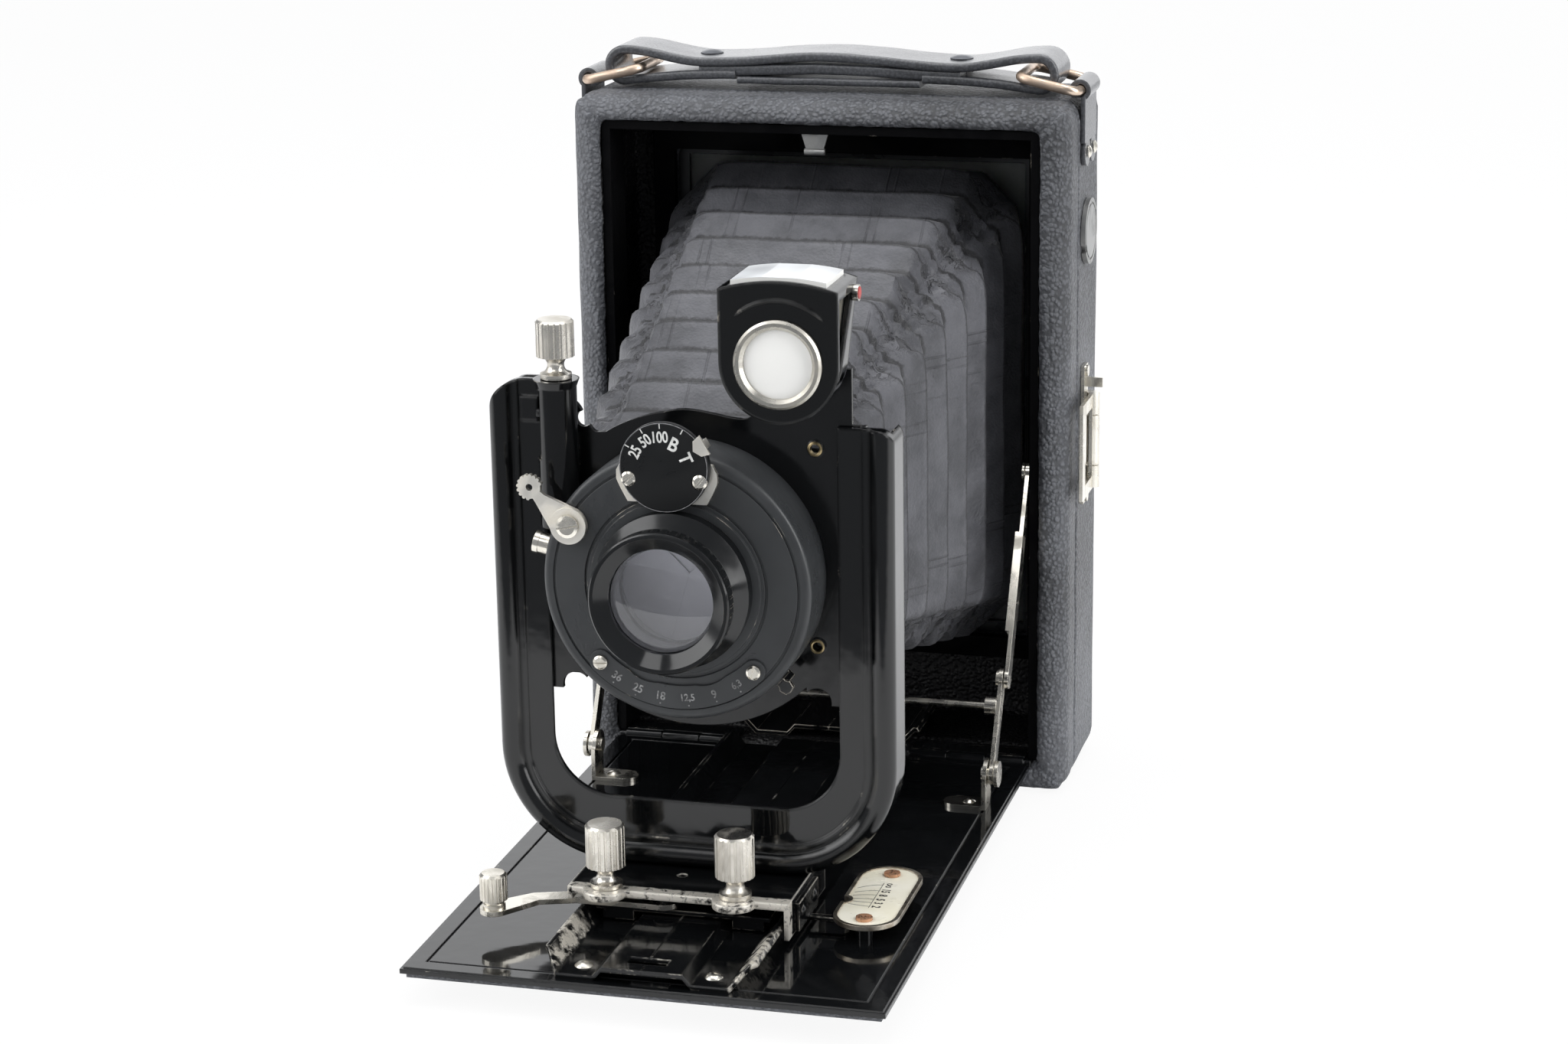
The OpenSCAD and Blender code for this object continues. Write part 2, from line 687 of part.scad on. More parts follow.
module bed_cover() {
  margin = 1;
  color(leather) at_bed() translate([0, -bed_l, -bed_t - cover_t]) difference() {
    translate([-bed_w / 2 + margin, margin, 0]) cube([bed_w - 2 * margin, bed_l - 3 - margin, cover_t]);
    translate([0, bed_l - bush_y, -1]) cylinder(r = 8.1, h = cover_t + 2);
  }
}
module bed_track() {
  corner = track_flare + sheet_t;
  color("#26272b") at_bed() difference() {
    track_piece(-track_front, -4);
    translate([-hump_slot[0] / 2, -track_front + 3.5, -1]) cube([hump_slot[0], hump_slot[1], 6]);
    // The flanges start behind the flat base
    both_sides() translate([track_w / 2 + 0.4, -track_front - 1, -1])
      linear_extrude(10) polygon([[0, 0], [12, 0], [12, 8], [corner, 7.5], [0, 1]]);
    for (x = [-1, 1]) translate([x * 13.2, -track_front + 5, -1]) cylinder(r = 1, h = 4);
  }
}
module bed_rivets() {
  color(nickel) at_bed() {
    for (x = [-1, 1], y = [-track_front + 5]) translate([x * 13.2, y, 0]) {
      cylinder(r = 1 - run, h = sheet_t);
      translate([0, 0, sheet_t]) intersection() {
        cylinder(r = 1.9, h = 1);
        translate([0, 0, -1.6]) sphere(2.5);
      }
    }
    // Rivets of the strut brackets
    both_sides() translate([bracket_x - 3.4, -strut_foot_y - 1, bracket_t]) intersection() {
      cylinder(r = 1.6, h = 0.8);
      translate([0, 0, -1.4]) sphere(2.1);
    }
  }
}
module strut_brackets() {
  foot = 7;
  w = 6;
  color(nickel) at_bed() both_sides() {
    translate([bracket_x + bracket_t - foot, -strut_foot_y - 1 - w / 2, 0]) cube([foot, w, bracket_t]);
    translate([bracket_x + bracket_t - foot, -strut_foot_y - 1, 0]) cylinder(r = w / 2, h = bracket_t);
    sideways(bracket_x, bracket_t) {
      translate([-strut_foot_y - 1 - w / 2, 0]) square([w, strut_foot_z]);
      translate([-strut_foot_y, strut_foot_z]) circle(3.4);
    }
    translate([0, -strut_foot_y, strut_foot_z]) rotate([0, 90, 0]) {
      translate([0, 0, bracket_x + bracket_t - eps]) cylinder(r = 1.5, h = strut_t + 2 * gap + eps);
      translate([0, 0, link_in + strut_t + gap - eps]) cylinder(r = 2.9, h = 0.8);
      translate([0, 0, bracket_x - 0.7]) cylinder(r = 1.5, h = 0.8);
    }
  }
}
module scale_outline(grow) {
  rotate([0, 0, 90]) slot_shape(scale_l - scale_w, scale_w / 2 + grow);
}
// Nickel-rimmed plate with an ivory field, notched for the distance pointer
module scale_plate() {
  rim = 0.8;
  notch_y = -3;
  color("ivory") at_bed() translate([scale_x, scale_y, scale_rise]) difference() {
    linear_extrude(1) difference() {
      scale_outline(0);
      translate([-scale_w / 2, notch_y]) circle(1.4);
    }
    translate([0, 0, 0.75]) linear_extrude(1) difference() {
      scale_outline(-rim);
      translate([-scale_w / 2, notch_y]) circle(1.4 + rim);
    }
    for (s = [-1, 1]) translate([0, s * (scale_l / 2 - 4.4), -1]) cylinder(r = 1.1, h = 4);
  }
}
module scale_screws() {
  color("peru") at_bed() for (s = [-1, 1])
    translate([scale_x, scale_y + s * (scale_l / 2 - 4.4), 0]) difference() {
      union() {
        cylinder(r = 1.7, h = scale_rise);
        cylinder(r = 1.1, h = scale_rise + 1);
        translate([0, 0, scale_rise + 0.75]) cylinder(r = 1.7, h = 0.6);
      }
      translate([0, 0, scale_rise + 1.35]) rotate([0, 0, 30]) cube([5, 0.45, 0.5], center = true);
    }
}
module tripod_bush() {
  color(nickel) at_bed() translate([0, -bush_y, -bed_t - cover_t]) difference() {
    union() {
      cylinder(r = 8, h = cover_t);
      cylinder(r = 6.3, h = cover_t + bed_t + 1.6);
    }
    translate([0, 0, -1]) cylinder(r = bush_r, h = 12);
  }
}

// Struts
// A flat link along local x with eyes of radius r at both ends
module link_shape(l, r, bore) {
  difference() {
    union() {
      translate([0, -strut_w / 2]) square([l, strut_w]);
      circle(r);
      translate([l, 0]) circle(r);
    }
    circle(bore);
  }
}
module lower_struts() {
  rod_z = strut_foot_z + rod_at * sin(strut_tilt);
  rod_y = -strut_foot_y + rod_at * cos(strut_tilt);
  stud = 2;
  color(nickel) at_bed() {
    both_sides() {
      translate([0, -strut_foot_y, strut_foot_z]) sideways(link_in, strut_t) rotate(strut_tilt)
        link_shape(strut_low_l, 2.4, 1.5 + run);
      translate([0, -strut_foot_y + strut_low_l * cos(strut_tilt),
        strut_foot_z + strut_low_l * sin(strut_tilt)]) rotate([0, 90, 0])
        translate([0, 0, link_in - 0.7]) cylinder(r = 1.9, h = 0.7);
      translate([0, rod_y, rod_z]) rotate([0, 90, 0]) translate([0, 0, link_in - 2.6])
        cylinder(r = stud, h = 2.6);
    }
    translate([-link_in + 2.4, rod_y, rod_z]) rotate([0, 90, 0])
      cylinder(r = 0.7, h = 2 * link_in - 4.8);
  }
}
module upper_strut(side) {
  l = strut_l - strut_low_l;
  rib = 0.9;
  x = link_out - strut_t;
  color(nickel) at_bed() mirror([side < 0 ? 1 : 0, 0, 0])
    translate([0, strut_top_y, strut_top_z]) {
      sideways(x, strut_t) rotate(strut_tilt + 180) link_shape(l, 2.2, 1.2 + run);
      // Turned-up edges stiffen the middle of the link
      sideways(x - rib, rib + eps) rotate(strut_tilt + 180) {
        translate([l * 0.3, -strut_w / 2]) square([l * 0.48, 0.6]);
        translate([l * 0.3, strut_w / 2 - 0.6]) square([l * 0.48, 0.6]);
      }
    }
}

// Carriage
module track_shoe() {
  low = sheet_t + gap;
  top = hump_h + sheet_t + gap;
  color("dimgray") at_standard() {
    both_sides() translate([hump_w / 2 + 1.8 + gap, -10, low])
      cube([track_w / 2 - hump_w / 2 - 1.8 - 2 * gap, 24, top - low]);
    translate([-track_w / 2 - 1, -10, top - eps]) cube([track_w + 2, 24, 0.9]);
  }
}
module carriage() {
  w = carriage_w / 2;
  shoe_top = hump_h + sheet_t + gap + 0.9 + gap;
  front = -13.6;
  rear = 15.5;
  color("#2a2b2f") at_standard() {
    difference() {
      union() {
        translate([-w, front, deck_z - deck_t]) cube([carriage_w, rear - front, deck_t]);
        for (x = pull_x) translate([x, pull_y - 1.2, deck_z - deck_t]) cylinder(r = 4.4, h = deck_t);
      }
      // Slots in which the shanks of the pull knobs travel
      for (i = [0, 1]) translate([pull_x[i] + (i == 0 ? 0.75 : -0.75), pull_y, deck_z - deck_t - 1])
        linear_extrude(deck_t + 2) slot_shape(1.5 + 2 * gap, 1.2 + gap);
      translate([-2, -3, deck_z - deck_t - 1]) cylinder(r = 0.9, h = deck_t + 2);
    }
    // Right leg over the whole length, left leg behind the lever
    translate([w - sheet_t, front, 1 + gap]) cube([sheet_t, rear - front, deck_z - deck_t - 1 - gap + eps]);
    translate([-w, -1.5, 1 + gap]) cube([sheet_t, rear + 1.5, deck_z - deck_t - 1 - gap + eps]);
    translate([-w, front, deck_z - deck_t - 1.2]) cube([sheet_t, 3.4, 1.2 + eps]);
    // Runners that ride on the shoe
    for (x = [-15, 12.5]) translate([x, 0, shoe_top]) cube([2.5, rear - 1, deck_z - deck_t - shoe_top + eps]);
    // Pivot stud of the focusing lever
    translate([lever_pivot[0], lever_pivot[1], lever_z - 0.35])
      cylinder(r = 1.5, h = deck_z - deck_t - lever_z + 0.35 + eps);
    translate([lever_pivot[0], lever_pivot[1], lever_z - 0.35 - eps]) cylinder(r = 2.4, h = 0.35 - 0.05);
  }
}
module distance_pointer() {
  w = carriage_w / 2;
  tip = scale_x - scale_w / 2 + 3.2;
  color("#2a2b2f") at_standard() {
    translate([w, -9, 1.6]) cube([1, 15, deck_z - deck_t - 1.6]);
    translate([w + eps, -2.6, 1.6]) cube([tip - w - 2, 1.6, 0.8]);
    translate([tip - 2, -1.8, 1.6]) cylinder(r = 0.8, h = 0.8);
  }
  color(nickel) at_standard() for (y = [-6, 3]) translate([w + 1, y, 4.6]) rotate([0, 90, 0])
    intersection() {
      cylinder(r = 1.5, h = 0.7);
      translate([0, 0, -1.4]) sphere(2);
    }
}

// Standard: one section drawn in (distance from the outer edge, depth), swept round a U
module standard_section() {
  bead = bead_w / 2;
  step = 1.5;
  difference() {
    union() {
      translate([bead, bead]) circle(bead);
      translate([0, bead]) square([bead_w, 0.8]);
      translate([0, bead]) square([sheet_t, std_d - bead]);
      translate([bead_w - eps, step - 0.3]) square([1.3, 2.2]);
    }
    translate([sheet_t, bead + 0.8]) square([bead_w, std_d]);
  }
  // Inner flange and the web that guides the lens board behind it
  translate([bead_w + 1, 1.6]) square([flange_w - bead_w - 1, sheet_t]);
  translate([bead_w + 1, 1.6]) square([1, board_y + board_t + gap + 0.8 - 1.6]);
  translate([bead_w + 1, board_y + board_t + gap]) square([flange_w - bead_w - 2, 0.8]);
}
module standard_arm(side, h) {
  translate([side * half_std, 0, std_r]) linear_extrude(h - std_r) mirror([side > 0 ? 1 : 0, 0])
    standard_section();
}
module standard() {
  inner_r = std_r - flange_w;
  color(nickel) at_standard() translate([0, 0, axis_h]) rise_nut();
  color(enamel) at_standard() translate([0, 0, deck_z]) difference() {
    union() {
      standard_arm(-1, left_h);
      standard_arm(1, right_h);
      for (s = [-1, 1]) translate([s * (half_std - std_r), 0, std_r]) rotate([-90, 0, 0])
        rotate([0, 0, s > 0 ? 0 : 90]) rotate_extrude(angle = 90)
          translate([std_r, 0]) mirror([1, 0]) standard_section();
      translate([-half_std + std_r - eps, 0, 0]) rotate([90, 0, 90])
        linear_extrude(std_w - 2 * std_r + 2 * eps) mirror([1, -1]) standard_section();
      // Wider flange along the bottom
      upright(1.6, sheet_t) difference() {
        translate([-half_std + flange_w - 0.5, flange_w - 0.5])
          square([std_w - 2 * flange_w + 1, std_r + 6 - flange_w]);
        translate([0, window_sill + 40]) round_rect(std_w - 2 * flange_w, 80, inner_r);
      }
    }
    // The left arm's outer corner is round
    round_r = 8;
    translate([-half_std - eps, -1, left_h - round_r]) difference() {
      cube([round_r, std_d + 2, round_r + 1]);
      translate([round_r, -1, 0]) rotate([-90, 0, 0]) cylinder(r = round_r, h = std_d + 4);
    }
    translate([half_std - 3 + eps, -1, right_h - 3]) difference() {
      cube([3, std_d + 2, 4]);
      translate([0, -1, 0]) rotate([-90, 0, 0]) cylinder(r = 3, h = std_d + 4);
    }
  }
}
module fluted_head(r, h, n) {
  groove = r * 3.1416 / n * 0.45;
  difference() {
    cylinder(r = r, h = h);
    for (i = [0:n - 1]) rotate([0, 0, i * 360 / n]) translate([r + groove * 0.35, 0, -1])
      cylinder(r = groove, h = h + 2, $fn = 16);
    translate([0, 0, h - 0.5]) difference() {
      cylinder(r = r + 1, h = 1);
      cylinder(r1 = r, r2 = r - 1, h = 1);
    }
  }
}
// Knob with a waisted neck and a flange, standing on z = 0
module waisted_knob(r, h, neck) {
  color(nickel) {
    translate([0, 0, neck]) fluted_head(r, h, flutes);
    rotate_extrude() difference() {
      square([r * 0.82, neck + eps]);
      translate([r * 0.82 + 0.25, neck / 2 + 0.45]) circle(neck / 2 - 0.5);
      translate([r * 0.72, neck * 0.55]) square([r, neck * 0.5]);
    }
  }
}
module pull_knob(i) {
  at_standard() translate([pull_x[i], pull_y, deck_z + 0.1]) {
    waisted_knob(pull_r, pull_h, 4.4);
    color(nickel) {
      translate([0, 0, -deck_t - 0.4]) cylinder(r = 1.2, h = deck_t + 0.5);
      translate([0, 0, -deck_t - 1]) cylinder(r = 2.3, h = 0.7);
    }
  }
}
module pull_knob_left() { pull_knob(0); }
module pull_knob_right() { pull_knob(1); }
// Strip lever under the deck, with its knob at the left end
module focus_lever() {
  t = 1.1;
  path = [[0, 0], [-9, -0.6], [-18, -1.2], [-26, -4], [-32.3, -11.2]];
  widths = [3.2, 2.4, 2, 2, 2.9];
  color(nickel) at_standard() translate([lever_pivot[0], lever_pivot[1], lever_z]) {
    difference() {
      linear_extrude(t) {
        for (i = [0:len(path) - 2]) hull() {
          translate(path[i]) circle(widths[i], $fn = 32);
          translate(path[i + 1]) circle(widths[i + 1], $fn = 32);
        }
      }
      translate([0, 0, -1]) cylinder(r = 1.5 + run, h = 4);
    }
    translate([path[4][0], path[4][1], t - eps]) waisted_knob(2.8, 5.6, 1.8);
  }
}

// Lens board: a wave runs along its upper edge from a notch beside the tube to the finder's ear
board_top = 33.4;
wave = [[-24.2, board_top], [-19.3, 27.3], [-1, 32.8], [10.6, 31.4], [16.3, 34.4]];
function wave_points(a, b, n) = [for (i = [0:n - 1]) let (t = i / n)
  [a[0] + (b[0] - a[0]) * t, a[1] + (b[1] - a[1]) * (1 - cos(180 * t)) / 2]];
module board_shape() {
  r = board_w / 2;
  lobe = 5;
  low = -26.6;
  ear = 42.4;
  difference() {
    union() {
      polygon(concat([[r, -22], [-r, -22], [-r, board_top]],
        [for (i = [0:3]) each wave_points(wave[i], wave[i + 1], 10)], [wave[4], [r, wave[4][1]]]));
      circle(r - 0.3);
      for (s = [-1, 1]) {
        translate([s * (r - lobe / 2), (low - 20) / 2]) square([lobe, -20 - low], center = true);
        // Fillet between the lobe and the round lower edge
        translate([s * (r - lobe - 2.4), -23.6]) square([4.8 + eps, 4], center = true);
      }
      translate([finder_x - 6, board_top - 1]) square([r - finder_x + 6, ear - board_top + 1]);
      translate([finder_x, finder_z]) circle(6.4);
    }
    for (s = [-1, 1]) translate([s * (r - lobe - 2.6), low + 0.6]) circle(2.9);
    // The round lower edge ends under the wave
    translate([-24.2, board_top]) square([40, 12]);
    translate([wave[1][0] - 2.6, wave[1][1] + 2.6]) circle(1.6);
  }
}
module lens_board() {
  hole = 15;
  frame_t = 2;
  color(enamel) at_standard() translate([0, 0, axis_h]) difference() {
    union() {
      upright(board_y, board_t) difference() {
        board_shape();
        circle(hole);
        // Bushed holes beside the shutter
        for (z = [26.2, -14.2]) translate([25.4, z]) circle(1.1);
      }
      // Frame to which the bellows are cemented
      upright(board_y + board_t - eps, frame_t) translate([0, front_up - end_drop]) difference() {
        square([2 * front_half_w - 1, 2 * (front_half_h - end_drop) - 1], center = true);
        square([2 * front_half_w - 8, 2 * (front_half_h - end_drop) - 8], center = true);
      }
      // Stud on which the brilliant finder swings
      translate([finder_x, board_y + eps, finder_z]) rotate([90, 0, 0]) {
        cylinder(r = 3, h = board_y + eps + finder_front - stud_shoulder);
        cylinder(r = stud_r, h = board_y + finder_front - wedge_low - 6.9);
      }
      for (z = [26.2, -14.2]) translate([25.4, board_y + board_t, z]) rotate([90, 0, 0])
        difference() {
          cylinder(r = 1.7, h = board_t + 0.4);
          translate([0, 0, -1]) cylinder(r = 1, h = 4);
        }
    }
  }
}
// Tube that carries the rise spindle, slotted for the nut that is riveted to the standard
module rise_tube() {
  lip = 0.6;
  cap = 1.8;
  color(enamel) at_standard() translate([0, 0, axis_h]) difference() {
    union() {
      translate([tube_x, tube_y, tube_low]) cylinder(r = tube_r, h = tube_top - tube_low);
      translate([tube_x, tube_y, tube_top - 1.6]) cylinder(r1 = tube_r, r2 = tube_r + lip, h = 1.6);
      translate([tube_x - 3, tube_y + 0.7, tube_low]) cube([6, board_y - tube_y - 0.7, 27 - tube_low]);
    }
    translate([tube_x, tube_y, tube_low + 4]) cylinder(r = tube_r - 1, h = tube_top - cap - tube_low - 4);
    translate([tube_x, tube_y, tube_top - 10]) cylinder(r = spindle_r + run, h = 20);
    // Cut round the shutter
    rotate([90, 0, 0]) translate([0, 0, -10]) cylinder(r = shutter_r, h = 30);
    translate([tube_x - 6, board_y, 0]) cube([12, 6, 60]);
    translate([tube_x - 10, 1.6 - gap, 0]) cube([10 - 3.6, 6, 60]);
    // Slot for the nut over the whole rise and fall
    translate([tube_x - 6, tube_y - 3, nut_z - rise - gap])
      cube([6, 6, nut_t + rise + fall + 2 * gap]);
  }
}
module rise_nut() {
  translate([tube_x, tube_y, nut_z]) difference() {
    union() {
      cylinder(r = 2.4, h = nut_t);
      translate([-8.5, -1.2, 0]) cube([8, 2.4, nut_t]);
      translate([-8.5, -1.2, -1.8]) cube([3.8, 1.6 - tube_y + 1.2, nut_t + 3.6]);
    }
    translate([0, 0, -1]) cylinder(r = spindle_r + run, h = nut_t + 2);
    translate([-9, -2, -2.5]) cube([5, 2 + 1.6 - tube_y - 1, nut_t + 5]);
  }
}
module rise_knob() {
  at_standard() translate([tube_x, tube_y, axis_h + tube_top + 0.15]) {
    waisted_knob(3.8, 7.4, 4.4);
    color(nickel) translate([0, 0, -22]) cylinder(r = spindle_r, h = 22 + eps);
  }
}

// Shutter and lens, drawn along the lens axis with z forward
module shutter_housing() {
  face = shutter_front;
  rim = 1.2;
  color(enamel) on_axis() difference() {
    rotate_extrude($fn = 96) {
      translate([shutter_bore, shutter_back]) square([shutter_r - shutter_bore - rim, shutter_t]);
      translate([shutter_r - rim - eps, shutter_back]) square([rim + eps, shutter_t - rim]);
      translate([shutter_r - rim, face - rim]) circle(rim, $fn = 32);
      // Raised inner field
      translate([shutter_bore, face - eps]) square([3.6, 0.7 + eps]);
    }
    // Turned lines
    for (r = [shutter_r - 2.4, 18.4]) translate([0, 0, face - 0.35]) difference() {
      cylinder(r = r + 0.25, h = 2, $fn = 96);
      translate([0, 0, -1]) cylinder(r = r - 0.25, h = 4, $fn = 96);
    }
    // Screw holes
    for (p = screw_places) translate([p[0], p[1], face - 3]) cylinder(r = 0.8, h = 6, $fn = 24);
    // Bore of the cable release
    rotate([0, 0, nipple_angle]) translate([shutter_r - 6, 0, 5]) rotate([0, 90, 0])
      cylinder(r = 0.9, h = 8);
    // Slot of the aperture pointer
    rotate([0, 0, -145]) rotate_extrude(angle = 115) translate([shutter_r - 3, 1.2]) square([5, 1.6]);
    // Blade chamber
    translate([0, 0, -1]) cylinder(r = 24, h = 1);
    translate([0, 0, 0.4]) cylinder(r = 19, h = 0.6);
  }
}
nipple_angle = 168;
plate_angles = [226, 314];
plate_r = 22.6;
lever_at = [-21.3, 11.6];
screw_places = concat(
  [for (a = plate_angles) [plate_r * cos(a), plate_r * sin(a)]],
  [for (x = [-7.2, 7.2]) [x + dial_x, dial_up - 2.6]],
  [lever_at]
);
// Crescent that carries the aperture numbers, with round ends at its screws
module aperture_plate() {
  color("#222326") on_axis() translate([0, 0, shutter_front]) difference() {
    union() {
      rotate([0, 0, plate_angles[0]]) rotate_extrude(angle = plate_angles[1] - plate_angles[0], $fn = 96)
        translate([plate_r - 2.5, 0]) square([4.8, 0.45]);
      for (a = plate_angles) rotate([0, 0, a]) translate([plate_r - 0.1, 0, 0]) cylinder(r = 2.4, h = 0.45);
    }
    // The two arcs of the upper edge meet in a cusp
    for (a = [250, 290]) rotate([0, 0, a]) translate([plate_r - 9.2, 0, -1]) cylinder(r = 7.2, h = 3);
    for (i = [0, 1]) translate([screw_places[i][0], screw_places[i][1], -1]) cylinder(r = 0.85, h = 3);
  }
}
module dial_shield() {
  side = [[6, 1], [9.2, 0.4], [10.2, -1.4], [10.2, -3.2], [9.4, -5], [8, -7.6]];
  color(nickel) on_axis() translate([dial_x, dial_up, shutter_front]) difference() {
    linear_extrude(1)
      polygon(concat(side, [for (i = [len(side) - 1:-1:0]) [-side[i][0], side[i][1]]]));
    for (s = [-1, 1]) translate([s * 7.2, -2.6, -1]) cylinder(r = 0.8, h = 4);
    // Clear of the raised field round the lens
    translate([-dial_x, -dial_up, -1]) cylinder(r = shutter_bore + 3.8, h = 5);
  }
}
pointer_sweep = [16, 162];
module speed_dial() {
  color("#202124") on_axis() translate([dial_x, dial_up, shutter_front + 1]) difference() {
    union() {
      cylinder(r = dial_r, h = 1.6, $fn = 96);
      translate([0, 0, 1.6 - eps]) cylinder(r1 = dial_r, r2 = dial_r - 0.4, h = 0.4 + eps, $fn = 96);
    }
    for (s = [-1, 1]) translate([s * 7.2, -2.6, -1]) cylinder(r = 0.8, h = 4);
    for (s = [-1, 1]) translate([s * 7.2, -2.6, 1.4]) cylinder(r = 1.6, h = 4);
    // Recess in which the speed pointer turns
    translate([0, 0, -1]) difference() {
      cylinder(r = 5.5, h = 1.8);
      cylinder(r = 1.5, h = 2);
    }
    translate([0, 0, -1]) rotate([0, 0, pointer_sweep[0]])
      rotate_extrude(angle = pointer_sweep[1] - pointer_sweep[0]) translate([5.4, 0]) square([10, 1.8]);
  }
}
// Slotted screws of the aperture plate, the dial and the release lever
module shutter_screws() {
  seats = [for (h = [0.45, 0.45, 2.4, 2.4, 1.65]) shutter_front + h];
  radii = [1.45, 1.45, 1.5, 1.5, 2.3];
  turns = [5, 80, 40, 50, 12];
  shank = 2.8;
  color(nickel) on_axis() for (i = [0:4]) translate([screw_places[i][0], screw_places[i][1], 0])
    difference() {
      union() {
        translate([0, 0, shutter_front - shank])
          cylinder(r = 0.8, h = seats[i] - shutter_front + shank + eps, $fn = 24);
        translate([0, 0, seats[i]]) cylinder(r = radii[i], h = 0.5);
        translate([0, 0, seats[i] + 0.5 - eps]) cylinder(r1 = radii[i], r2 = radii[i] * 0.7, h = 0.25);
      }
      translate([0, 0, seats[i] + 0.75]) rotate([0, 0, turns[i]]) cube([6, 0.45, 0.7], center = true);
    }
}
module lens_barrel() {
  base = shutter_front + 0.7;
  front = lens_front;
  color("#1e1f22") on_axis() difference() {
    rotate_extrude($fn = 96) polygon([
      [11.4, 2], [shutter_bore, 2], [shutter_bore, base], [15.8, base],
      [15.8, base + 2.6], [15, base + 3.4], [13.2, base + 5.2], [13.2, front - 3.6],
      [lens_r, front - 3.6], [lens_r, front - 0.3], [lens_r - 0.3, front], [lens_r - 1, front],
      [glass_r + 0.3, front - 1.8], [glass_r + 0.3, front - 5.4], [glass_r - 0.6, front - 5.4],
      [glass_r - 0.6, base], [11.4 - 2, base]
    ]);
    // Knurled edge
    for (i = [0:47]) rotate([0, 0, i * 7.5]) translate([lens_r + 0.25, 0, front - 3.3])
      cylinder(r = 0.42, h = 2, $fn = 8);
  }
}
module front_glass() {
  sag = 1.3;
  bulge = (glass_r * glass_r + sag * sag) / (2 * sag);
  color("lightcyan") on_axis() intersection() {
    translate([0, 0, lens_front - 5.2]) cylinder(r = glass_r + 0.2, h = 6, $fn = 96);
    translate([0, 0, lens_front - 1.7 - bulge]) sphere(bulge, $fn = 96);
  }
}
module rear_cell() {
  color("#1e1f22") on_axis() {
    back = shutter_back - board_t;
    rotate_extrude($fn = 96) polygon([[10, -12], [12.2, -12], [12.2, back - 1.4], [16.6, back - 1.4],
      [16.6, back], [shutter_bore, back], [shutter_bore, -1.6], [11, -1.6], [11, -8], [10, -8]]);
    color("lightcyan") translate([0, 0, -11]) cylinder(r = 10, h = 2.4);
  }
}
// Three leaves of the shutter, swung shut
module shutter_blades() {
  color("dimgray") on_axis() for (i = [0:2]) rotate([0, 0, 120 * i + 30])
    translate([0, 0, -0.9 + 0.3 * i]) linear_extrude(0.22) difference() {
      union() {
        intersection() {
          circle(13.2);
          translate([-1, 0]) square([16, 16]);
        }
        translate([9, 3]) rotate(12) square([11, 4.4]);
        translate([20, 7]) circle(2.6);
      }
      translate([20, 7]) circle(1);
    }
}
// Leaves of the iris, stopped down in steps round the opening
module iris_blades() {
  color("dimgray") on_axis() for (i = [0:4]) rotate([0, 0, 72 * i]) translate([0, 0, 0.55])
    linear_extrude(0.25) difference() {
      intersection() {
        circle(18.4);
        polygon([[0, 0], [30, 0.4], [30, 30], [30 * cos(71), 30 * sin(71)]]);
      }
      circle(10.9);
    }
}
module cable_nipple() {
  color(nickel) on_axis() rotate([0, 0, nipple_angle]) translate([shutter_r + 0.05, 0, 5])
    rotate([0, 90, 0]) difference() {
      union() {
        cylinder(r = 2.1, h = 3);
        translate([0, 0, 2.4]) cylinder(r = 2.25, h = 1.1);
        translate([0, 0, -1.5]) cylinder(r = 0.9, h = 1.6);
      }
      translate([0, 0, -2]) cylinder(r = 0.5, h = 6);
      translate([0, 0, 0.6]) cylinder(r = 1.5, h = 6);
    }
}
// Toothed thumb lever beside the dial
module release_lever() {
  tip = [-7.8, 7.4];
  color(nickel) on_axis() translate([lever_at[0], lever_at[1], shutter_front + 0.2]) difference() {
    union() {
      cylinder(r = 3.7, h = 1.4);
      linear_extrude(1.1) polygon([[-3.4, -1.4], [-6.6, 4.4], [-7.4, 5.6], [-6.2, 7.2], [-4.8, 6],
        [1.4, 3.4], [3, 0], [0, -3]]);
      translate([tip[0], tip[1], 0]) cylinder(r = 2.3, h = 1.1);
      for (a = [20:22:270]) translate([tip[0] + 2.3 * cos(a), tip[1] + 2.3 * sin(a), 0])
        cylinder(r = 0.35, h = 1.1, $fn = 16);
    }
    translate([0, 0, -1]) cylinder(r = 0.8 + run, h = 4);
    translate([tip[0], tip[1], -1]) cylinder(r = 0.7, h = 4);
  }
}
// Pointer that turns under the dial, with a leaf bent up over its rim
module speed_pointer() {
  a = 31;
  leaf = 2.1;
  color(nickel) on_axis() translate([dial_x, dial_up, shutter_front + 1.1]) rotate([0, 0, a]) {
    difference() {
      union() {
        cylinder(r = 5.2, h = 0.5);
        translate([4, -0.9, 0]) cube([dial_r + 1.1 - 4, 1.8, 0.5]);
      }
      translate([0, 0, -1]) cylinder(r = 1.5 + run, h = 3);
    }
    translate([dial_r + gap, -0.9, 0]) cube([0.8, 1.8, 2.9]);
    translate([0, 0, 2.3]) linear_extrude(0.6) polygon([[dial_r - 1.6, 0], [dial_r - 0.6, leaf * 0.8],
      [dial_r + 1.1, leaf], [dial_r + 1.1, -leaf], [dial_r - 0.6, -leaf * 0.8]]);
  }
}
module aperture_pointer() {
  a = -43;
  color("#b9a36a") on_axis() rotate([0, 0, a]) {
    translate([shutter_r - 2.6, -1, 1.5]) cube([4.2, 2, 1]);
    translate([shutter_r + gap, -1, 1.5]) cube([1.3, 2, 5.5]);
    translate([0, 0, 6]) linear_extrude(1) polygon([[shutter_r + gap, -0.5], [shutter_r + 1.6, -1.5],
      [shutter_r + 3, -1.1], [shutter_r + 3.3, 0], [shutter_r + 3, 1.1], [shutter_r + 1.6, 1.5],
      [shutter_r + gap, 0.5]]);
  }
}

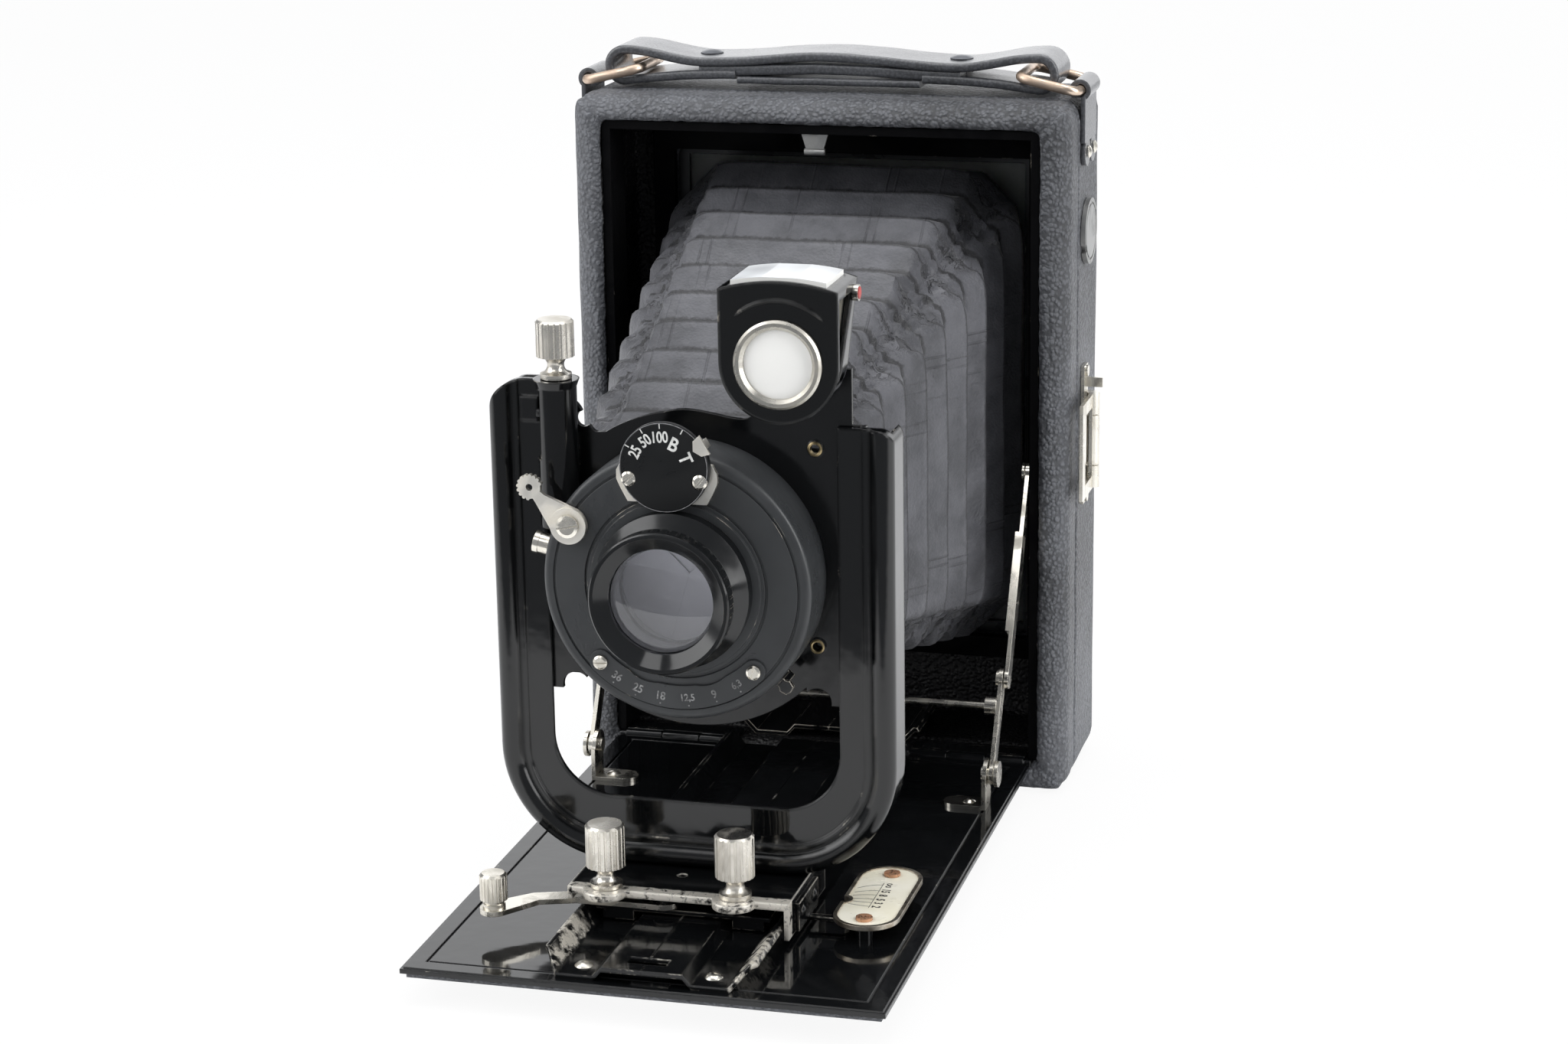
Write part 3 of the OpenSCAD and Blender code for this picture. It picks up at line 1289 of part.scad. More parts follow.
// Brilliant finder, drawn round its lens with y = 0 in its front plane
module finder_outline(grow) {
  r = finder_w / 2 + grow;
  arch = 40;
  circle(r, $fn = 96);
  intersection() {
    translate([-r, 0]) square([2 * r, finder_up + 3]);
    translate([0, finder_up + 1 + grow - arch]) circle(arch, $fn = 128);
  }
}
// Side view of the finder: upright front, sloping back
wedge_low = 3;
module finder_wedge(grow) {
  low = -finder_w / 2 - grow;
  top = finder_up + 3 + grow;
  polygon([[-grow, low], [wedge_low + grow, low], [wedge_low + grow, low + 2],
    [finder_d + grow, finder_up - 0.6], [finder_d + grow, top], [-grow, top]]);
}
module at_finder() {
  at_standard() translate([finder_x, -finder_front, axis_h + finder_z]) children();
}
module finder_body() {
  skin = 0.9;
  boss_r = 3.4;
  color(enamel) at_finder() difference() {
    union() {
      difference() {
        intersection() {
          upright(0, finder_d) finder_outline(0);
          sideways(-finder_w, 2 * finder_w) finder_wedge(0);
        }
        // Inside, open to the sides in a wedge and to the top
        intersection() {
          upright(skin, finder_d) finder_outline(-skin);
          sideways(-finder_w, 2 * finder_w) finder_wedge(-skin);
        }
        sideways(-finder_w, 2 * finder_w) polygon([[skin + 0.2, -3], [finder_d - 3.4, finder_up - 2.6],
          [skin + 0.2, finder_up - 2.6]]);
        upright(skin, finder_d - 2.6) translate([-finder_w / 2 + 2.4, finder_up - 6])
          square([finder_w - 4.8, 12]);
      }
      // Boss that turns on the lens board's stud
      intersection() {
        upright(0, stud_shoulder - gap) circle(boss_r);
        sideways(-finder_w, 2 * finder_w) polygon([[wedge_low + 5.8, -10], [wedge_low + 5.8, -2],
          [wedge_low + 5.8, 10], [40, 10], [40, -10]]);
      }
    }
    upright(-1, skin + 2) circle(ring_r - 1);
    upright(wedge_low + 6.6, 30) circle(stud_r + run);
  }
}
module finder_ring() {
  color(nickel) at_finder() rotate([90, 0, 0]) rotate_extrude($fn = 96)
    polygon([[ring_r - 1.9, 0], [ring_r, 0], [ring_r, 0.7], [ring_r - 0.5, 1.2],
      [ring_r - 1.2, 1.2], [ring_r - 1.9, 0.5]]);
  // Red-dotted stop screw on the right side
  color("indianred") at_finder() translate([finder_w / 2, finder_d - 3.4, finder_up - 3.2])
    rotate([0, 90, 0]) cylinder(r = 1.6, h = 1.1);
}
module finder_glasses() {
  lens_bulge = 30;
  top_bulge = 52;
  color("lightcyan") at_finder() {
    intersection() {
      upright(-0.9, 1.8) circle(ring_r - 1.9);
      translate([0, -0.9 + lens_bulge, 0]) sphere(lens_bulge, $fn = 96);
    }
    intersection() {
      translate([-finder_w / 2 + 2.4, 0.9, finder_up - 2.4]) cube([finder_w - 4.8, finder_d - 2.6, 4]);
      translate([0, 0, finder_up + 1.7 - top_bulge]) rotate([-90, 0, 0])
        cylinder(r = top_bulge, h = 30, $fn = 128);
    }
  }
}
// Mirror lying on the sloping back
module finder_mirror() {
  t = 0.8;
  skin = 0.9;
  color("ivory") at_finder() intersection() {
    upright(1.2, finder_d) finder_outline(-1.3);
    sideways(-finder_w / 2 + 2, finder_w - 4) intersection() {
      finder_wedge(-skin);
      translate([-t, 0]) difference() {
        translate([1, -7]) square([finder_d, finder_up + 2.8]);
        finder_wedge(-skin);
      }
    }
  }
}

// Bellows: rings of eight corners run from the rear frame to the lens board, alternately a
// ridge and a valley, joined by triangles into one closed tube with walls of even thickness
// The last ring is drawn down below the notch in the lens board
front_up = 3.4;
end_drop = 2.2;
bellows_rear_y = rear_y - 2.5 - 0.3;
bellows_front_y = -extension + board_y + board_t + 2 + 0.3;
rings = 2 * pleats;
function mix(a, b, t) = a + (b - a) * t;
function ring_spot(i) = [
  mix(bellows_rear_y, bellows_front_y, i / rings),
  mix(window_z, sill_h + axis_h + front_up, i / rings) - (i == rings ? end_drop : 0)
];
// Half width, half height and corner cut of ring i, drawn in by wall inset t
function ring_size(i, t) = let (f = i / rings, fold = (i % 2 == 1 ? 0 : pleat_d),
    tight = i == rings ? 0.5 : 1) [
  mix(rear_half_w, front_half_w, f) - fold * tight - t,
  mix(rear_half_h, front_half_h, f) - fold * tight - t - (i == rings ? end_drop : 0),
  (i % 2 == 1 ? ridge_cut : valley_cut) * mix(1, 0.8, f) - 0.4 * t
];
function ring_points(i, t) = let (s = ring_size(i, t), o = ring_spot(i),
    w = s[0], h = s[1], c = s[2]) [
  for (p = [[w, h - c], [w - c, h], [-w + c, h], [-w, h - c],
      [-w, -h + c], [-w + c, -h], [w - c, -h], [w, -h + c]])
    [p[0], o[0], o[1] + p[1]]
];
module bellows() {
  outer = [for (i = [0:rings]) each ring_points(i, 0)];
  inner = [for (i = [0:rings]) each ring_points(i, bellows_t)];
  base = 8 * (rings + 1);
  skin = [for (i = [0:rings - 1], k = [0:7]) let (a = 8 * i + k, b = 8 * i + (k + 1) % 8)
    each [[a, b, a + 8], [b, b + 8, a + 8]]];
  lining = [for (f = skin) [f[2] + base, f[1] + base, f[0] + base]];
  caps = [for (k = [0:7]) let (n = (k + 1) % 8, e = 8 * rings) each [
    [k, k + base, n], [n, k + base, n + base],
    [e + k, e + n, e + k + base], [e + n, e + n + base, e + k + base]]];
  color("#34353a") at_front() polyhedron(concat(outer, inner), concat(skin, lining, caps));
}

front_shell();
rear_shell();
opening_liner();
bellows_frame();
case_track();
bed_hinge();
case_rivets();
strap_lugs();
finder_hinge();
socket_plug();
plate_rails();
bed_catch();
ring_left();
ring_right();
handle_strap();
handle_rivets();
finder_frame();
bed_plate();
bed_cover();
bed_track();
bed_rivets();
strut_brackets();
scale_plate();
scale_screws();
tripod_bush();
lower_struts();
upper_strut(-1);  // upper_strut_left
upper_strut(1);  // upper_strut_right
track_shoe();
carriage();
distance_pointer();
standard();
pull_knob_left();
pull_knob_right();
focus_lever();
lens_board();
rise_tube();
rise_knob();
shutter_housing();
aperture_plate();
speed_dial();
dial_shield();
shutter_screws();
lens_barrel();
front_glass();
rear_cell();
shutter_blades();
iris_blades();
cable_nipple();
release_lever();
speed_pointer();
aperture_pointer();
finder_body();
finder_ring();
finder_glasses();
finder_mirror();
bellows();
back_frame();
focusing_glass();
hood_lid();
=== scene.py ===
"""Folding plate camera for 9 x 12 cm plates, dressed on the frame of its CAD model."""
import math

import bmesh
import bpy
import numpy as np
from mathutils import Matrix, Vector, noise


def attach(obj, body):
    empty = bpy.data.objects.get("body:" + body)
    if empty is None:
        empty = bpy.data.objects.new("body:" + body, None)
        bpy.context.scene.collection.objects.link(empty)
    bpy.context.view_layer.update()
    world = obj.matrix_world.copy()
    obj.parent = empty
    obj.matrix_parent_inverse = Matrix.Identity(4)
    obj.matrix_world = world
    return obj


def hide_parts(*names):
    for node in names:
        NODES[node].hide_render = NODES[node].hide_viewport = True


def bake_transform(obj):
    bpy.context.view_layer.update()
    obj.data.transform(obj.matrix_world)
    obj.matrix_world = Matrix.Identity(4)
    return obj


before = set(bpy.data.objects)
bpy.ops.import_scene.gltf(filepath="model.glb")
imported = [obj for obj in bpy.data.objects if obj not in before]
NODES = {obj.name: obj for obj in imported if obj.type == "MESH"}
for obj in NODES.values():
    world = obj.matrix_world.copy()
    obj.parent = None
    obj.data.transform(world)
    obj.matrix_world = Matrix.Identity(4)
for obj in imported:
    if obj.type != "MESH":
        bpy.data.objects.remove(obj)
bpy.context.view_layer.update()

MM = 0.001
# Places in the frame, in millimetres
FRONT = -18.5            # front plane of the body
STD_Y = -122.0           # front plane of the standard
AXIS_Z = 79.6            # lens axis
FACE_Y = STD_Y - 9.5     # face of the shutter
LEAF_Y = STD_Y - 2.9     # rearmost leaf of the shutter
SCENE = bpy.context.scene

# Pressed strips of the bellows, as places across its panels in the UV map "strips"
STRIP_UNIT = 100.0       # millimetres in one unit of that map
NO_STRIP = 9.0           # place where no strip lies
# Each strip's middle and width; one without a width is a single crease
PRESSED = ((-0.195, 0.022), (-0.06, 0.0), (0.125, 0.02), (0.24, 0.0), (0.47, 0.0), (0.61, 0.018),
           (0.97, 0.024), (1.06, 0.022))
DEAD_BLACK = (0.003, 0.003, 0.0035)


# Materials
class Shade:
    """One procedural material, built node by node round a Principled shader.

    Its nodes take lengths in metres, and masks run from 0 to 1.
    """

    def __init__(self, name, **values):
        self.mat = bpy.data.materials.new(name)
        self.mat.use_nodes = True
        self.tree = self.mat.node_tree
        self.bsdf = self.tree.nodes["Principled BSDF"]
        self.coord = self.add("TexCoord").outputs["Object"]
        for key, value in values.items():
            self.set(key.replace("_", " "), value)

    def set(self, socket, value):
        target = self.bsdf.inputs[socket]
        if isinstance(value, bpy.types.NodeSocket):
            self.tree.links.new(value, target)
        else:
            target.default_value = value

    def add(self, kind, inputs=None, **props):
        node = self.tree.nodes.new("ShaderNode" + kind)
        for key, value in props.items():
            setattr(node, key, value)
        for key, value in (inputs or {}).items():
            if isinstance(value, bpy.types.NodeSocket):
                self.tree.links.new(value, node.inputs[key])
            else:
                node.inputs[key].default_value = value
        return node

    def noise(self, scale, detail=4.0, rough=0.55, at=None, warp=0.0):
        inputs = {"Vector": at or self.coord, "Scale": scale, "Detail": detail,
                  "Roughness": rough, "Distortion": warp}
        return self.add("TexNoise", inputs).outputs["Fac"]

    def cells(self, scale, at=None, feature="SMOOTH_F1", smooth=0.6):
        inputs = {"Vector": at or self.coord, "Scale": scale}
        if feature == "SMOOTH_F1":
            inputs["Smoothness"] = smooth
        return self.add("TexVoronoi", inputs, feature=feature).outputs["Distance"]

    def ring(self, low, high, soft, axis="Y"):
        """Mask of the surface between two places along an axis, in mm, with ragged ends."""
        ragged = self.times(self.minus(self.noise(800.0), 0.5), 4 * soft * MM)
        place = self.plus(self.part(self.coord, axis), ragged)
        begin = self.span(place, (low - soft) * MM, (low + soft) * MM)
        end = self.span(place, (high - soft) * MM, (high + soft) * MM, 1.0, 0.0)
        return self.times(begin, end)

    def math(self, op, a, b=0.0):
        return self.add("Math", {0: a, 1: b}, operation=op).outputs[0]

    def times(self, a, b):
        return self.math("MULTIPLY", a, b)

    def plus(self, a, b):
        return self.math("ADD", a, b)

    def minus(self, a, b):
        return self.math("SUBTRACT", a, b)

    def apart(self, a, b):
        """Distance between two values."""
        return self.math("ABSOLUTE", self.minus(a, b))

    def span(self, value, low, high, to_low=0.0, to_high=1.0):
        inputs = {"Value": value, "From Min": low, "From Max": high,
                  "To Min": to_low, "To Max": to_high}
        return self.add("MapRange", inputs, interpolation_type="SMOOTHSTEP").outputs["Result"]

    def mix(self, factor, a, b):
        node = self.add("Mix", {0: factor}, data_type="RGBA")
        for index, value in ((6, a), (7, b)):
            if isinstance(value, bpy.types.NodeSocket):
                self.tree.links.new(value, node.inputs[index])
            else:
                node.inputs[index].default_value = (*value, 1.0)
        return node.outputs[2]

    def part(self, vector, axis):
        return self.add("SeparateXYZ", {"Vector": vector}).outputs[axis]

    def bump(self, height, distance, normal=None, strength=1.0):
        inputs = {"Height": height, "Distance": distance, "Strength": strength}
        if normal is not None:
            inputs["Normal"] = normal
        return self.add("Bump", inputs).outputs["Normal"]

    def rounded(self, radius):
        """Normal of the surface as if its edges were rounded by radius."""
        return self.add("Bevel", {"Radius": radius}, samples=4).outputs["Normal"]

    def edges(self, radius, low, high, ragged=0.12, scale=900.0):
        """Mask of the outer edges, with a ragged border."""
        soft = self.rounded(radius)
        true = self.add("NewGeometry").outputs["True Normal"]
        dot = self.add("VectorMath", {0: soft, 1: true}, operation="DOT_PRODUCT").outputs["Value"]
        bent = self.minus(1.0, dot)
        rough = self.times(self.minus(self.noise(scale), 0.5), ragged)
        hollow = self.add("AmbientOcclusion", {"Distance": 2 * radius}, samples=3,
                          only_local=True).outputs["AO"]
        outer = self.span(hollow, 0.72, 0.85)
        return self.times(self.span(self.plus(bent, rough), low, high), outer)


def pebbled_leather(name, dark, light, cell, depth, roughness, coat=0.0, black=None):
    """Coarse pebbled leather with a fine grain on each pebble and lighter rubbed edges.

    black returns the mask of what is painted black inside the body.
    """
    s = Shade(name)
    s.bsdf.inputs["Coat Weight"].default_value = coat
    s.bsdf.inputs["Coat Roughness"].default_value = 0.24
    warp = s.add("TexNoise", {"Vector": s.coord, "Scale": 0.45 / cell, "Detail": 2.0})
    shift = s.add("VectorMath", {0: warp.outputs["Color"], 1: (0.9 * cell,) * 3},
                  operation="MULTIPLY").outputs["Vector"]
    at = s.add("VectorMath", {0: s.coord, 1: shift}, operation="ADD").outputs["Vector"]
    pebbles = s.cells(1.0 / cell, at, smooth=0.35)
    dome = s.span(pebbles, 0.2, 0.75, 1.0, 0.0)
    fine = s.noise(2.6 / cell, 6.0, 0.65)
    height = s.plus(s.times(dome, 0.75), s.times(fine, 0.45))
    patches = s.span(s.noise(28.0, 3.0), 0.3, 0.7)
    # Pebble tops lighter and the gaps darker: the grain's own tone, with painted shade in the gaps and
    # painted highlight on the tops
    colour = s.mix(s.times(s.plus(dome, patches), 0.5), dark, light)
    worn = s.edges(0.0016, 0.03, 0.22, 0.1, 500.0)
    colour = s.mix(s.times(worn, 0.35), colour, tuple(1.8 * c for c in light))
    if black:
        colour = s.mix(black(s), colour, DEAD_BLACK)
    s.set("Base Color", colour)
    s.set("Roughness", s.span(fine, 0.3, 0.7, roughness - 0.08, roughness + 0.12))
    slow = s.bump(s.noise(0.22 / cell, 3.0, 0.6), 1.2 * depth, s.rounded(0.0008))
    s.set("Normal", s.bump(height, depth, slow))
    return s.mat


def enamel(name, colour=(0.003, 0.0033, 0.0037), gloss=0.07, wear=0.6, metal=(0.66, 0.61, 0.52),
           radius=0.0004, level=0.42, dusty=0.05, bare=None):
    """Black stove enamel, rubbed to the metal along its edges; bare returns more rubbed areas."""
    s = Shade(name)
    s.bsdf.inputs["Specular IOR Level"].default_value = level
    dust = s.span(s.noise(900.0, 8.0, 0.75), 0.66, 0.78)
    wave = s.noise(60.0, 3.0)
    tint = s.mix(wave, tuple(0.6 * c for c in colour), tuple(1.5 * c for c in colour))
    tint = s.mix(s.times(dust, dusty), tint, (0.2, 0.2, 0.19))
    worn = s.edges(radius, 0.10, 0.16, 0.16)
    patchy = s.span(s.noise(110.0, 5.0, 0.7), 0.62 - 0.14 * wear, 0.72 - 0.14 * wear)
    worn = s.times(worn, patchy)
    if bare:
        scratched = s.span(s.noise(420.0, 6.0, 0.7), 0.36, 0.5)
        worn = s.math("MAXIMUM", worn, s.times(bare(s), scratched))
    s.set("Base Color", s.mix(worn, tint, metal))
    s.set("Metallic", s.times(worn, 0.6))
    smudge = s.span(s.noise(35.0, 5.0, 0.6, warp=1.5), 0.35, 0.7, gloss * 0.7, gloss * 1.7)
    rough = s.plus(smudge, s.times(dust, 0.2))
    s.set("Roughness", s.plus(rough, s.times(worn, 0.26)))
    s.set("Normal", s.bump(s.noise(140.0, 2.0), 0.00005, s.rounded(radius)))
    return s.mat


def plated(name, colour, tarnish, roughness=0.24, spots=0.3, radius=0.00008, brushed=0.0):
    """Nickel or brass with cloudy tarnish, dark specks and fine scratches."""
    s = Shade(name)
    s.bsdf.inputs["Metallic"].default_value = 1.0
    cloud = s.span(s.noise(120.0, 6.0, 0.65, warp=0.8), 0.38, 0.72)
    specks = s.span(s.noise(1500.0, 5.0, 0.7), 0.66, 0.76)
    tint = s.mix(s.times(cloud, 0.4), colour, tarnish)
    tint = s.mix(s.times(specks, spots), tint, tuple(0.25 * c for c in tarnish))
    s.set("Base Color", tint)
    stretched = s.add("Mapping", {"Vector": s.coord, "Scale": (1.0, 1.0, 24.0)}).outputs["Vector"]
    lines = s.noise(420.0, 3.0, 0.6, at=stretched)
    cloudy = s.span(cloud, 0.0, 1.0, roughness * 0.8, roughness * 1.7)
    s.set("Roughness", s.plus(cloudy, s.times(specks, 0.2)))
    s.set("Normal", s.bump(s.plus(s.times(lines, brushed), specks), 0.00001, s.rounded(radius)))
    return s.mat


def bellows_leather(name):
    """Thin dull leather: fine grain, strips pressed across its pleats, painted shade in the valleys,
    creases and tucked corners, and ridges lighter as rubbed wear with painted highlight.
    """
    s = Shade(name)
    s.bsdf.inputs["Sheen Weight"].default_value = 0.12
    s.bsdf.inputs["Specular IOR Level"].default_value = 0.4
    panel, strip = (s.add("UVMap", uv_map=name).outputs["UV"] for name in ("panel", "strips"))
    pleat, turn, line = s.part(panel, "Y"), s.part(panel, "X"), s.part(strip, "X")
    band = s.math("FLOOR", s.times(pleat, 0.5))
    # Each pleat's strips are a little off those of the next
    jog = s.times(s.math("SINE", s.times(band, 2.7)), 0.016)
    line = s.plus(line, jog)
    creases, strips = 0.0, 0.0
    for place, width in PRESSED:
        away = s.apart(line, place)
        from_edge = s.apart(away, width / 2)
        edge = s.span(from_edge, 0.0012, 0.0034, 1.0, 0.0)
        creases = s.math("MAXIMUM", creases, edge)
        if width:
            inside = s.span(away, width / 2 - 0.001, width / 2, 1.0, 0.0)
            strips = s.math("MAXIMUM", strips, inside)
    broken = s.span(s.noise(60.0, 4.0), 0.42, 0.58)
    creases = s.times(creases, broken)
    strips = s.times(strips, s.span(s.noise(40.0, 3.0), 0.4, 0.55))
    # The corners lie at whole numbers across the panels
    off = s.math("MODULO", s.plus(turn, 0.5), 1.0)
    corner = s.span(s.apart(off, 0.5), 0.03, 0.15, 1.0, 0.0)
    # The valleys lie at even numbers, the ridges at odd ones
    from_ridge = s.apart(s.math("MODULO", pleat, 2.0), 1.0)
    ragged = s.times(s.minus(s.noise(700.0, 5.0, 0.7), 0.5), 0.3)
    ridge = s.span(s.plus(from_ridge, ragged), 0.08, 0.26, 1.0, 0.0)
    valley = s.span(s.plus(from_ridge, ragged), 0.80, 0.92)
    fine = s.noise(2400.0, 5.0, 0.7)
    grain = s.cells(1500.0, feature="F1")
    cloud = s.noise(70.0, 6.0, 0.62)
    colour = s.mix(s.span(cloud, 0.32, 0.68), (0.040, 0.041, 0.047), (0.088, 0.089, 0.100))
    colour = s.mix(s.times(strips, 0.16), colour, (0.03, 0.03, 0.035))
    # Ridges lighter in patches: partly rubbed wear, partly painted highlight
    rubbed = s.span(s.noise(160.0, 4.0), 0.4, 0.65, 0.0, 0.3)
    colour = s.mix(s.times(ridge, rubbed), colour, (0.14, 0.14, 0.155))
    wrinkles = s.span(s.noise(420.0, 3.0, 0.6, warp=1.2), 0.46, 0.56)
    tucked = s.times(s.times(corner, wrinkles), s.span(from_ridge, 0.15, 0.45, 1.0, 0.25))
    # Painted shade: a thin dark line along each crest, dark valleys, darker pressed creases and darker
    # tucked corners
    crest = s.span(s.plus(from_ridge, s.times(ragged, 0.35)), 0.02, 0.09, 1.0, 0.0)
    fold = s.math("MAXIMUM", s.times(crest, 0.8), s.times(valley, 0.95))
    dark = s.math("MAXIMUM", s.times(creases, 0.2), fold)
    dark = s.math("MAXIMUM", dark, s.times(tucked, 0.7))
    colour = s.mix(dark, colour, (0.01, 0.01, 0.012))
    s.set("Base Color", colour)
    s.set("Roughness", s.span(s.noise(85.0, 4.0, 0.6), 0.3, 0.7, 0.40, 0.58))
    height = s.plus(s.times(fine, 0.35), s.times(grain, 0.5))
    height = s.minus(height, s.times(creases, 1.1))
    height = s.plus(height, s.times(strips, 0.8))
    height = s.minus(height, s.times(tucked, 3.0))
    crumple = s.noise(230.0, 4.0, 0.55, warp=1.0)
    s.set("Normal", s.bump(height, 0.00014, s.bump(crumple, 0.0008, strength=0.4)))
    return s.mat


def plain(name, dark, light, roughness, scale=150.0, bump=0.00003, **values):
    """A painted, printed or moulded surface with a little cloud and unevenness."""
    s = Shade(name, **values)
    s.set("Base Color", s.mix(s.span(s.noise(scale, 5.0, 0.6), 0.35, 0.7), dark, light))
    s.set("Roughness", s.span(s.noise(scale * 0.6, 4.0), 0.3, 0.7, roughness * 0.8, roughness * 1.3))
    s.set("Normal", s.bump(s.noise(scale * 6.0, 3.0), bump, s.rounded(0.00015)))
    return s.mat


def scale_card(name):
    """Ivory field inside a nickel rim; the rim stands over the field."""
    s = Shade(name)
    up = s.part(s.add("TexCoord").outputs["Normal"], "Z")
    field = s.times(s.ring(0.0, 11.57, 0.02, "Z"), s.span(up, 0.5, 0.7))
    rim = s.minus(1.0, field)
    ivory = s.mix(s.span(s.noise(90.0, 5.0, 0.6), 0.35, 0.7), (0.82, 0.78, 0.63), (0.92, 0.89, 0.77))
    # Darker and browner close to whatever stands over the field
    open_sky = s.add("AmbientOcclusion", {"Distance": 0.0008}, samples=3).outputs["AO"]
    near = s.span(open_sky, 0.5, 0.9, 1.0, 0.0)
    ivory = s.mix(s.times(near, 0.5), ivory, (0.30, 0.22, 0.12))
    nickel = s.mix(s.span(s.noise(300.0, 5.0, 0.65), 0.4, 0.65), (0.66, 0.61, 0.52), (0.36, 0.31, 0.24))
    s.set("Base Color", s.mix(rim, ivory, nickel))
    s.set("Metallic", rim)
    s.set("Roughness", s.span(s.noise(160.0, 4.0), 0.3, 0.7, 0.24, 0.42))
    s.set("Normal", s.bump(s.noise(700.0, 3.0), 0.00003, s.rounded(0.00015)))
    return s.mat


def finder_lens(name):
    """Front lens in an even cream, painted light for the bright view through the finder, and a top lens
    that is grey with pale streaks of painted reflection.
    """
    s = Shade(name)
    up = s.span(s.part(s.add("TexCoord").outputs["Normal"], "Z"), 0.3, 0.6)
    cream = s.mix(s.noise(60.0, 3.0), (0.91, 0.90, 0.86), (0.97, 0.96, 0.93))
    streak = s.span(s.noise(45.0, 2.0, 0.4), 0.36, 0.64)
    s.set("Base Color", s.mix(up, cream, s.mix(streak, (0.34, 0.35, 0.36), (0.66, 0.68, 0.70))))
    s.set("Roughness", s.span(s.noise(90.0, 3.0), 0.3, 0.7, 0.12, 0.24))
    return s.mat


def glass(name, tint, roughness=0.0, coat=0.0, coat_tint=(1.0, 1.0, 1.0)):
    """Clear glass with faint dust, and a thin coat where it is bloomed."""
    s = Shade(name)
    for key, value in (("Transmission Weight", 1.0), ("IOR", 1.5), ("Coat Weight", coat)):
        s.bsdf.inputs[key].default_value = value
    s.bsdf.inputs["Coat Tint"].default_value = (*coat_tint, 1.0)
    dust = s.span(s.noise(700.0, 6.0, 0.7), 0.6, 0.75)
    s.set("Base Color", s.mix(dust, tint, tuple(0.93 * c for c in tint)))
    s.set("Roughness", s.span(dust, 0.0, 1.0, roughness, roughness + 0.06))
    return s.mat


def inside_body(s):
    """Mask of the room inside the leather-covered shells."""
    depth, width = s.ring(-17.0, 16.0, 0.2), s.ring(-53.2, 53.2, 0.2, "X")
    height = s.ring(4.5, 154.5, 0.2, "Z")
    return s.times(depth, s.times(width, height))


def carriage_lip(s):
    """Mask of the carriage's front lip, where the fingers rub it bare."""
    return s.ring(-150.0, -133.0, 0.25)


def rail_ends(s):
    """Mask of the front ends of both rails, bare in patches."""
    ends, patches = s.ring(-160.6, -139.0, 4.0), s.span(s.noise(260.0, 5.0), 0.42, 0.54)
    rails = s.math("MAXIMUM", s.ring(-30.0, -17.6, 0.3, "X"), s.ring(17.6, 30.0, 0.3, "X"))
    return s.times(s.times(ends, patches), rails)


def above_card(s):
    """Mask of the scale screws' heads, which stand over the card."""
    return s.ring(11.4, 20.0, 0.05, "Z")


BODY_LEATHER = {"dark": (0.022, 0.023, 0.026), "light": (0.142, 0.148, 0.163), "cell": 0.0009,
                "depth": 0.00034, "roughness": 0.44}
LEATHER = pebbled_leather("pebbled_leather", **BODY_LEATHER)
SHELL = pebbled_leather("shell_leather", **BODY_LEATHER, black=inside_body)
STRAP = pebbled_leather("strap_leather", (0.020, 0.021, 0.024), (0.078, 0.081, 0.090), cell=0.0006,
                        depth=0.00005, roughness=0.34, coat=0.7)
BELLOWS = bellows_leather("bellows_leather")
ENAMEL = enamel("black_enamel")
FINDER = enamel("finder_enamel", (0.0015, 0.0018, 0.002), 0.05, 0.0, radius=0.0011, level=0.45)
STANDARD = enamel("standard_enamel", (0.002, 0.0023, 0.0026), wear=0.0, radius=0.0010, level=0.5)
ENAMEL_WORN = enamel("black_enamel_worn", wear=1.5, gloss=0.10, radius=0.0005)
BOARD = enamel("board_enamel", gloss=0.15, wear=0.2, radius=0.0003, level=0.42, dusty=0.09)
BED = enamel("bed_enamel", wear=0.1, level=0.5)
CARRIAGE = enamel("rubbed_carriage", wear=2.6, gloss=0.12, radius=0.0007, metal=(0.84, 0.80, 0.72),
                  bare=carriage_lip)
TRACK = enamel("rubbed_track", wear=0.8, gloss=0.10, radius=0.0006, metal=(0.70, 0.66, 0.58),
               bare=rail_ends)
SCREWS = enamel("scale_screw", wear=0.3, metal=(0.60, 0.33, 0.20), radius=0.0001, bare=above_card)
DIAL = enamel("dial_black", (0.008, 0.0085, 0.009), 0.34, 0.2, radius=0.0002, level=0.25)
SATIN = enamel("satin_black", (0.034, 0.036, 0.038), 0.36, 0.3, radius=0.0003, level=0.4)
BARREL = enamel("barrel_black", (0.005, 0.0055, 0.006), 0.14, 0.5, radius=0.00012, level=0.45)
DULL = enamel("dull_black", (0.0025, 0.0025, 0.003), 0.6, 0.1, level=0.06, dusty=0.02)
NICKEL = plated("nickel", (0.74, 0.71, 0.64), (0.44, 0.40, 0.32))
NICKEL_BRUSHED = plated("nickel_brushed", (0.68, 0.65, 0.59), (0.44, 0.41, 0.35), 0.32, 0.25, brushed=1.0)
SHEET = plated("sheet_nickel", (0.86, 0.83, 0.76), (0.64, 0.60, 0.52), 0.42, 0.2, brushed=1.0)
WIRE = plated("worn_wire", (0.62, 0.50, 0.40), (0.34, 0.22, 0.15), 0.35, 0.6)
BRASS = plated("brass", (0.34, 0.27, 0.15), (0.14, 0.11, 0.06), 0.35, 0.5)
# Shutter leaves in pale grey: partly the steel's own grey, partly painted reflection of the lens glass in
# front of them
LEAF_STEEL_AND_REFLECTION = plain("steel_leaf", (0.48, 0.48, 0.49), (0.64, 0.64, 0.66), 0.42, 60.0, Metallic=0.2)
